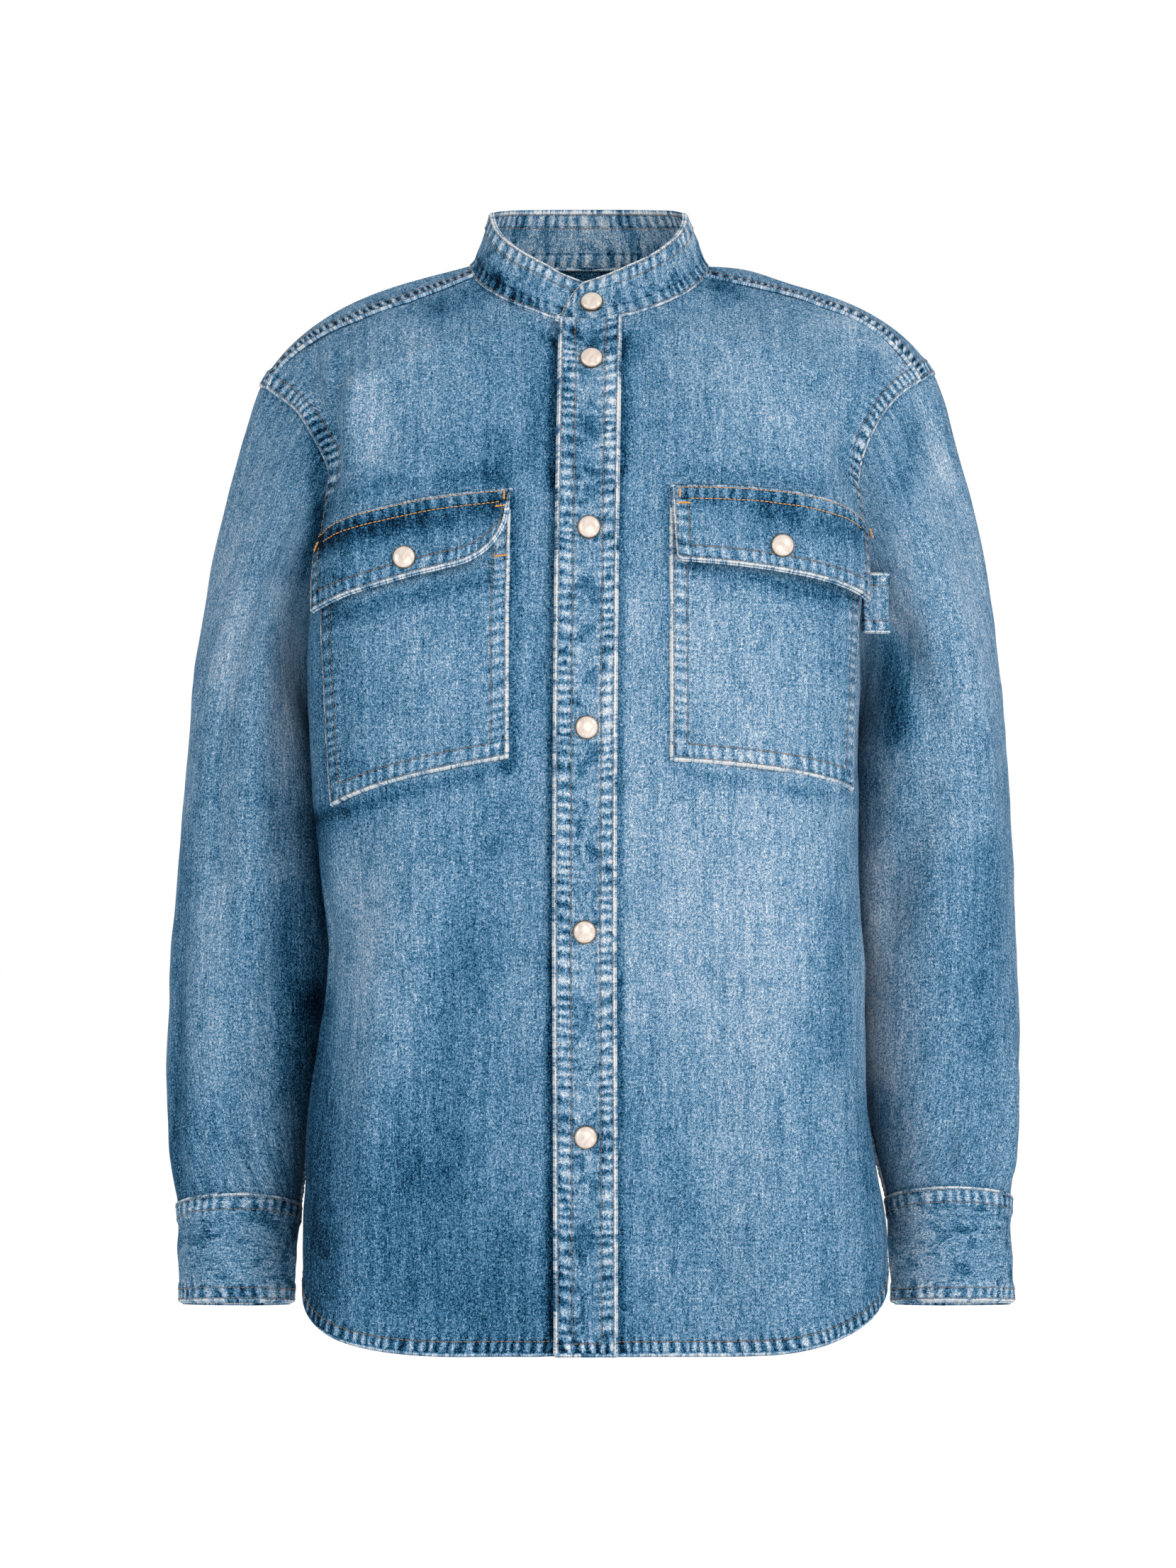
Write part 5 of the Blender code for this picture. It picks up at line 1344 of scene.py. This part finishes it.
def sleeve(side, armhole, armpit):
    top = int(np.argmax(side * armhole[:, 0]))
    own = armhole_turns(armhole, top, armpit)
    order = np.argsort(own)
    turns = np.linspace(-180, 180, round(ARM_ROUND / (STEP_SLEEVE * COARSE)) + 1)
    around = np.concatenate([order[-2:], order, order[:2]])
    keys = np.concatenate([own[order[-2:]] - 360, own[order], own[order[:2]] + 360])
    loop = np.stack([np.interp(turns, keys, armhole[around, k]) for k in range(3)], axis=1)
    cap, arm = shares(CAP_LONG, STEP_SLEEVE, True, False), shares(ARM_LONG, STEP_SLEEVE, False, True)
    rows = np.concatenate([cap, 1 + arm[1:]])
    rings = sleeve_points(side, loop, turns, rows)
    outwards = off_middle(rings, rings[:, :-1].mean(axis=1, keepdims=True))
    quiet = np.minimum(ease(0, 3 / 7, rows), ease(2, 2 - 1 / 15, rows))
    hidden = 1 - ease(*SLEEVE_INNER, np.abs(turns))
    moved = fold_height(side, turns[None, :], rings[..., 2]) * quiet[:, None] * hidden
    rings = rings + outwards * moved[..., None]
    cloth = Cloth(f"sleeve_{SIDES[side]}", rings[::-1], rings.mean(axis=(0, 1)))
    cloth.seam("top", "under", pucker=0.35, reach=12).seam("bottom", "gathered")
    cloth.seam("left", "lap").seam("right", "under")
    return settle(cloth, "sleeve", side)


def collar():
    turns = PLACKET_ANGLE + (360 - UNDER_ANGLE - PLACKET_ANGLE) * shares(COLLAR_LONG, STEP_FINE)
    heights = shares(COLLAR_HIGH, STEP_FINE)[:, None] * (1 + COLLAR_LAP) - COLLAR_LAP
    columns = []
    for turn in turns:
        side, angle = (LEFT, turn) if turn <= 180 else (RIGHT, 360 - turn)
        base, high = neck(angle), collar_top(angle)
        if turn > 270:  # the right end passes under the left one
            under = sunk(base[0], SINK_LEAN)
            base, high = base + under, high + under
        past = (base[0] - COLLAR_END[0]) / (COLLAR_END[1] - COLLAR_END[0]) if side == LEFT else 0.0
        tall = max(COLLAR_END_LOW, (1 - min(max(past, 0.0), 1.0) ** 2) ** 0.65)
        columns.append((base + (high - base) * heights * tall) * np.array([side, 1, 1]))
    cloth = Cloth("collar", np.stack(columns, axis=1), np.zeros(3))
    cloth.seam("bottom", "band").seam("top", "edge", key=5)
    cloth.seam("left", "edge", rows=(1.6,), width=3.0).seam("right", "edge", rows=())
    top, everywhere = cloth.points[-1], np.ones(len(turns))
    beyond = np.where((turns < 90) & (top[:, 0] < COLLAR_ROW_END), 0.0, 1.0)
    cloth.stitches = [row for row in cloth.stitches if row[:2] != ("top", INNER_ROW)]
    cloth.stitches.append(("top", INNER_ROW, beyond, "brown", 1))
    cloth.stitches += [("top", row, everywhere, "brown", -1) for row in (1.6, 11.0)]
    tack_z = top[np.argmax(beyond > 0.5), 2] - COLLAR_TACK / 2 - 1.6
    cloth.tacks.append((COLLAR_ROW_END, tack_z, COLLAR_TACK, 90, "brown", STITCH_RADIUS))
    cloth.draped(COLLAR_STAND * (1 - ease(1, 7, cloth.along)))
    return settle(cloth, "collar")


def cuff(side):
    turns = CUFF_OPENING + (360 + CUFF_LAP) * shares(CUFF_LONG, STEP_CUFF)
    lapped = (BAND + 2 * GAP) * ease(CUFF_OPENING + 360 - 34, CUFF_OPENING + 360 - 4, turns)
    grid = []
    for t in 1 + shares(CUFF_HIGH, STEP_CUFF)[::-1]:
        ring = sleeve_ring(side, t)
        points = on_ring(ring, turns)
        grid.append(points + unit(points - ring[0]) * (lapped[:, None] + 0.5))
    grid = np.array(grid)
    cloth = Cloth(f"cuff_{SIDES[side]}", grid, grid.mean(axis=(0, 1)))
    cloth.seam("bottom", "edge", rows=(1.5, 8.2), thread="grey", pucker=0.3)
    cloth.seam("top", "edge", rows=(1.6, 9.8), thread="grey", pucker=0.25)
    for end in ("left", "right"):
        cloth.seam(end, "edge", rows=(1.6,), width=3, thread="grey")
    return settle(cloth, "cuff", side)


def sleeve_placket(side):
    low, top = SLIT_FOOT, 1 - SLIT_LENGTH / ARM_DOWN
    wide = np.degrees(SLIT_WIDTH / 2 / SLIT_RADIUS)
    turns = CUFF_OPENING + CUFF_LAP / 2 + wide * (2 * shares(SLIT_WIDTH, STEP_FINE) - 1)
    rings = [sleeve_ring(side, t) for t in low + (top - low) * shares(SLIT_SEEN, STEP_FINE)]
    points = np.array([on_ring(ring, turns) for ring in rings])
    centres = np.array([ring[0] for ring in rings])[:, None]
    moved = fold_height(side, turns[None, :], points[..., 2])
    points = points + off_middle(points, centres) * moved[..., None]
    cloth = Cloth(f"sleeve_placket_{SIDES[side]}", points, centres.mean(axis=(0, 1)))
    for edge in ("left", "right", "top"):
        cloth.seam(edge, "edge", rows=(1.5,), width=2.5, rise=0.3)
    return faded_and_shaded(cloth)


class Panel:
    """A front's smooth surface, found by v and by the distance from the middle line."""

    def __init__(self, side):
        self.rows = np.linspace(0, 1, 301)
        self.lines = np.array([front_line(side, v) for v in self.rows])
        self.length = np.linalg.norm(np.diff(self.lines, axis=1), axis=2).sum(axis=1)
        self.edge = PLACKET_EDGE if side == LEFT else UNDER_EDGE

    def at(self, v, far):
        v, far = np.broadcast_arrays(np.asarray(v, float), np.asarray(far, float))
        place = np.clip(v * (len(self.rows) - 1), 0, len(self.rows) - 1.001)
        k, share = place.astype(int), (place % 1)[..., None]
        found = 0
        for row, weight in ((k, 1 - share), (k + 1, share)):
            along = np.clip((far + self.edge) / self.length[row] * (FINE_POINTS - 1), 0, FINE_POINTS - 1.001)
            j, part = along.astype(int), (along % 1)[..., None]
            found = found + weight * (self.lines[row, j] * (1 - part) + self.lines[row, j + 1] * part)
        return found

    def place(self, far, z):
        """The v, and the distance again, of the point at this distance and height."""
        low, high = 0.02, 0.98
        for _ in range(30):
            v = (low + high) / 2
            low, high = (v, high) if self.at(v, far)[2] < z else (low, v)
        return np.array([v, far])

    def patch(self, corners, step):
        """A grid between four corners, and its places down from the top and across, as shares."""
        names = ("top_in", "top_out", "low_out", "low_in")
        top_in, top_out, low_out, low_in = (self.place(*corners[n]) for n in names)
        size = [np.linalg.norm(self.at(*a) - self.at(*b)) for a, b in ((low_in, top_in), (top_in, top_out))]
        q, p = np.meshgrid(1 - shares(size[0], step), shares(size[1], step), indexing="ij")
        place = [
            (1 - q) * ((1 - p) * top_in[k] + p * top_out[k]) + q * ((1 - p) * low_in[k] + p * low_out[k])
            for k in (0, 1)
        ]
        return self.at(*place), q, p


def pocket(side, panel):
    points, q, p = panel.patch(POCKET[side], STEP_FINE)
    cloth = Cloth(f"pocket_{SIDES[side]}", points, BODY_MIDDLE)
    cloth.draped(raised(points, CREASES) + POCKET_FULL * np.sin(np.pi * p) ** 0.7 * np.sin(np.pi * q) ** 0.5)
    for edge in ("left", "right", "bottom"):
        cloth.seam(edge, "edge", key=ord(edge[0]) + side)
    return settle(cloth, "pocket", side)


def flap(side, panel):
    points, q, p = panel.patch(FLAP[side], STEP_FLAP)
    cloth = Cloth(f"flap_{SIDES[side]}", points, BODY_MIDDLE)
    wide, tall = FLAP_ROUND[side]
    low = 1 - tall * (1 - np.sqrt(1 - np.clip(1 - cloth.across[-1] / wide, 0, 1) ** 2))
    for j, share in enumerate(low):
        for k in range(3):
            points[:, j, k] = np.interp(q[:, j] * share, q[::-1, j], points[::-1, j, k])
    curl = FLAP_CURL[side] * q**2 * np.clip(1 - cloth.across / CURL_WIDE, 0, 1) ** 1.3
    q = q * low
    full = POCKET_FULL * np.sin(np.pi * p) ** 0.7 * ease(0.15, 0.8, q)
    stand = FLAP_STAND * q**1.5 + (CLOTH + GAP) * ease(0.0, 0.25, q)
    lifted = points + cloth.normals * (raised(points, CREASES) + full + stand + curl)[..., None]
    cloth = Cloth(cloth.name, lifted, BODY_MIDDLE)
    cloth.fade += CURL_WORN * curl
    for edge in ("left", "right", "bottom"):
        cloth.seam(edge, "edge", key=ord(edge[0]) + 3 * side, rows=(1.4, 9.2), width=10.2)
    cloth.seam("top", "edge", thread="orange", rows=(1.5, 9.8), width=10.5, key=2 + side, wear=0.5)
    return settle(cloth, "flap", side)


def placket():
    rows = front_rows(0, V_NECK)
    left_edge, right_edge = PLACKET_EDGES
    across = left_edge + (right_edge - left_edge) * shares(right_edge - left_edge, STEP_FINE)
    lines = [front_line(LEFT, v) for v in rows]
    grid = np.array([[np.interp(across, line[:, 0], line[:, k]) for k in range(3)] for line in lines])
    grid = np.moveaxis(grid, 1, 2)
    seam = np.array([neck(math.degrees(math.asin(x / NECK_HALF_WIDTH))) for x in across])
    grid = drifted(grid + (seam - grid[-1]) * ease(V_NECK - 0.10, V_NECK, rows)[:, None, None] ** 2)
    cloth = Cloth("placket", grid, BODY_MIDDLE)
    cloth.seam("left", "edge", rows=(1.4, 10.6), key=4, pucker=0.36)
    cloth.seam("right", "edge", rows=(1.4, 9.2), key=9, pucker=0.36)
    cloth.seam("bottom", "hem", rows=(7.5,), wear=0.8)
    cloth.draped(raised(grid, CREASES))
    return settle(cloth, "placket")


def loop():
    """A strip of two layers, bent round at its tip."""
    root = np.array([LOOP["root_x"], LOOP["root_y"]])
    tip = np.array([LOOP["tip_x"], LOOP["tip_y"]])
    along = unit(tip - root)
    square = LOOP_BEND * np.array([along[1], -along[0]])
    bend = [
        tip + along * LOOP_BEND * (math.cos(a) - 1) + square * math.sin(a)
        for a in np.radians(np.linspace(90, -90, 13))
    ]
    out, home = (
        [root + (tip - root) * t + side * square * (1 + LOOP_BULGE * math.sin(math.pi * t)) for t in places]
        for side, places in ((1, np.linspace(0, 0.88, 9)), (-1, np.linspace(0.88, 0, 9)))
    )
    high = LOOP["top"] - LOOP["bottom"]
    heights = LOOP["bottom"] + high * shares(high, STEP_FINE)
    grid = np.array([[(x, y, z) for x, y in out + bend + home] for z in heights])
    cloth = Cloth("loop", grid, np.array([*((root + tip) / 2), (LOOP["bottom"] + LOOP["top"]) / 2]))
    cloth.seam("top", "edge", rows=(7.5,), width=8).seam("bottom", "edge", rows=(7.5,), width=8)
    return faded_and_shaded(cloth)


def snap(name, materials):
    """A pearl cap in a metal rim, where the part's snap is and along its axis."""
    corners = np.array([v.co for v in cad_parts[name].data.vertices])
    centre = corners.mean(axis=0)
    axis = np.linalg.svd(corners - centre)[2][2]
    along = (corners - centre) @ axis
    wide = np.linalg.norm(corners - centre - along[:, None] * axis, axis=1)
    if along[wide > 0.9 * wide.max()].mean() > 0:
        axis, along = -axis, -along
    base = (centre + axis * along.min()) / MM
    aside = unit(np.cross(axis, (0.3, 0.2, 0.9)))
    other = np.cross(axis, aside)
    turn = np.linspace(0, 2 * math.pi, SNAP_STEPS, endpoint=False)
    round_it = aside * np.cos(turn)[:, None] + other * np.sin(turn)[:, None]
    points, quads, parts = [], [], []
    for number, outline in enumerate((SNAP_RIM_LINE, SNAP_CAP_LINE)):
        start = len(points)
        for r, h in outline:
            points += list(base + axis * h + round_it * r)
        for row in range(len(outline) - 1):
            for k in range(SNAP_STEPS):
                n = (k + 1) % SNAP_STEPS
                a, b = start + row * SNAP_STEPS, start + (row + 1) * SNAP_STEPS
                quads.append((a + k, a + n, b + n, b + k))
                parts.append(number)
    piece = made(f"{name}_pearl", np.array(points), quads, None, materials[0])
    piece.data.materials.append(materials[1])
    piece.data.polygons.foreach_set("material_index", parts)
    return piece


def stitched(cloths, threads):
    """The bar tacks and the stitches of a piece, one object for each thread, riding with it."""
    rows, found = {}, []
    for cloth in cloths:
        for side, row, where, word, skin in cloth.stitches:
            rows.setdefault(word, []).append(cloth.line(side, row, where, skin))
        for number, tack in enumerate(cloth.tacks):
            found.append(bar_tack(f"tack_{cloth.name}_{number}", cloth, threads, *tack))
    for word, lines in rows.items():
        lines = [line for line in lines if len(line) > 2]
        if lines:
            found.append(sewn(f"stitches_{cloths[0].name}_{word}", lines, threads[word]))
    return found


def bar_tack(name, cloth, threads, x, z, long, turn, thread_name, radius):
    """Close stitches in a bar, about x and z on the front of a piece."""
    surface = cloth.surface(None)
    away = np.hypot(surface[..., 0] - x, surface[..., 2] - z) + 999 * (surface[..., 1] > 0)
    row, column = np.unravel_index(np.argmin(away), away.shape)
    normal, angle = cloth.normals[row, column], math.radians(turn)
    way = unit(np.cross(np.cross(normal, (math.cos(angle), 0.0, math.sin(angle))), normal))
    count = max(2, round(long / TACK_STITCH))
    middle = np.array([x, np.interp(x, *sorted_line(surface[row])), z])
    steps = (np.arange(count) - (count - 1) / 2)[:, None] * (long / count)
    a = middle + way * (steps - long / count * TACK_OVERLAP)
    b = middle + way * (steps + long / count * TACK_OVERLAP)
    up = np.broadcast_to(normal, a.shape)
    return strands(name, a + normal * TACK_HIGH, b + normal * TACK_HIGH, up, radius, threads[thread_name])


def sorted_line(row):
    order = np.argsort(row[:, 0])
    return row[order, 0], row[order, 1]


def placed(piece, node):
    """Says what a piece replaces and rides on."""
    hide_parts(node)
    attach(piece, "root")
    return piece


def dressed(cloths, mesh, kind, looks, threads):
    """Puts a piece of cloth, one shell or several welded ones, and its stitches in the scene."""
    name = cloths[0].name
    placed(made(f"{name}_cloth", *mesh, looks[SHELLS[kind][-1]]), name)
    for piece in stitched(cloths, threads):
        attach(piece, "root")


def main():
    looks = {word: denim(*look) for word, look in LOOKS.items()}
    threads = {word: thread(f"thread_{word}", colour) for word, colour in THREADS.items()}
    fronts = {side: front(side) for side in SIDES}
    back_cloth, back_rows = back()
    yokes, yoke_rows, joined = yoke()
    pieces = [("front", cloth) for cloth, _ in fronts.values()] + [("back", back_cloth)]
    for side, (front_cloth, rows) in fronts.items():
        before = front_cloth.points[rows >= V_ARMPIT - 1e-9, -1][::-1]
        under = back_cloth.points[back_rows >= V_ARMPIT - 1e-9, 0 if side == RIGHT else -1]
        over = yokes[side].points[: len(yoke_rows), -1]
        armhole = np.vstack([before, under[1:], over[1:-1]])
        panel = Panel(side)
        pieces += [
            ("sleeve", sleeve(side, armhole, len(before) - 1)),
            ("cuff", cuff(side)),
            ("sleeve_placket", sleeve_placket(side)),
            ("pocket", pocket(side, panel)),
            ("flap", flap(side, panel)),
        ]
    pieces += [("collar", collar()), ("placket", placket()), ("loop", loop())]
    for kind, cloth in pieces:
        cloth.tacks += [(*row, "orange", TACK_THREAD) for name, *row in TACKS["rows"] if name == cloth.name]
        cloth.built(kind)
        dressed([cloth], (*cloth.mesh, cloth.values), kind, looks, threads)
    for cloth in yokes.values():
        weld = np.zeros(cloth.points.shape[:2], bool)
        weld[joined, 0] = True
        cloth.built("yoke", weld)
    halves = list(yokes.values())
    dressed(halves, welded(halves), "yoke", looks, threads)
    materials = (metal(), pearl())
    for name in sorted(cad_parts):
        if name.startswith("snap"):
            placed(snap(name, materials), name)


# ---- stage, light and camera ----

AIM = (0, 0, -0.35)
CAMERA_PLACE, LENS, SENSOR = (-0.0007, -3.0, -0.3525), 102.8, 36
FLOOR_HALF, FLOOR_Z = 30000.0, -1350.0
LIGHTS = table(
    "name size power place",
    ("key", 1.1, 70, (2.0, -2.1, 1.3)),
    ("fill", 2.0, 34, (-2.6, -2.0, 0.5)),
    ("front", 2.0, 30, (0.2, -3.4, -0.1)),
    ("rear", 1.8, 24, (-0.6, 2.6, 1.4)),
    ("gleam", 0.35, 12, (1.3, -2.6, -1.1)),
)


def light(name, size, power, place):
    data = bpy.data.lights.new(name, "AREA")
    data.shape, data.size, data.energy = "DISK", size, power
    lamp = bpy.data.objects.new(name, data)
    lamp.location = place
    lamp.rotation_euler = (Vector(AIM) - Vector(place)).to_track_quat("-Z", "Y").to_euler()
    bpy.context.scene.collection.objects.link(lamp)


def studio():
    scene = bpy.context.scene
    scene.world = bpy.data.worlds.new("studio")
    scene.world.use_nodes = True
    sky = scene.world.node_tree.nodes["Background"]
    sky.inputs["Color"].default_value = (1.0, 1.0, 1.0, 1)
    sky.inputs["Strength"].default_value = 1.0
    paper = Shading("paper", 0.9, Specular_IOR_Level=0.1)
    paper.shader.inputs["Base Color"].default_value = (1.0, 1.0, 1.0, 1)
    corners = [(x * FLOOR_HALF, y * FLOOR_HALF, FLOOR_Z) for x, y in ((-1, -1), (1, -1), (1, 1), (-1, 1))]
    made("floor", np.array(corners), [(0, 1, 2, 3)], None, paper.material)
    for row in LIGHTS["rows"]:
        light(*row)
    scene.view_settings.view_transform = "Standard"
    data = bpy.data.cameras.new("camera")
    data.lens, data.sensor_width = LENS, SENSOR
    camera = bpy.data.objects.new("camera", data)
    camera.location, camera.rotation_euler = CAMERA_PLACE, (math.pi / 2, 0, 0)
    scene.collection.objects.link(camera)
    scene.camera = camera


main()
studio()
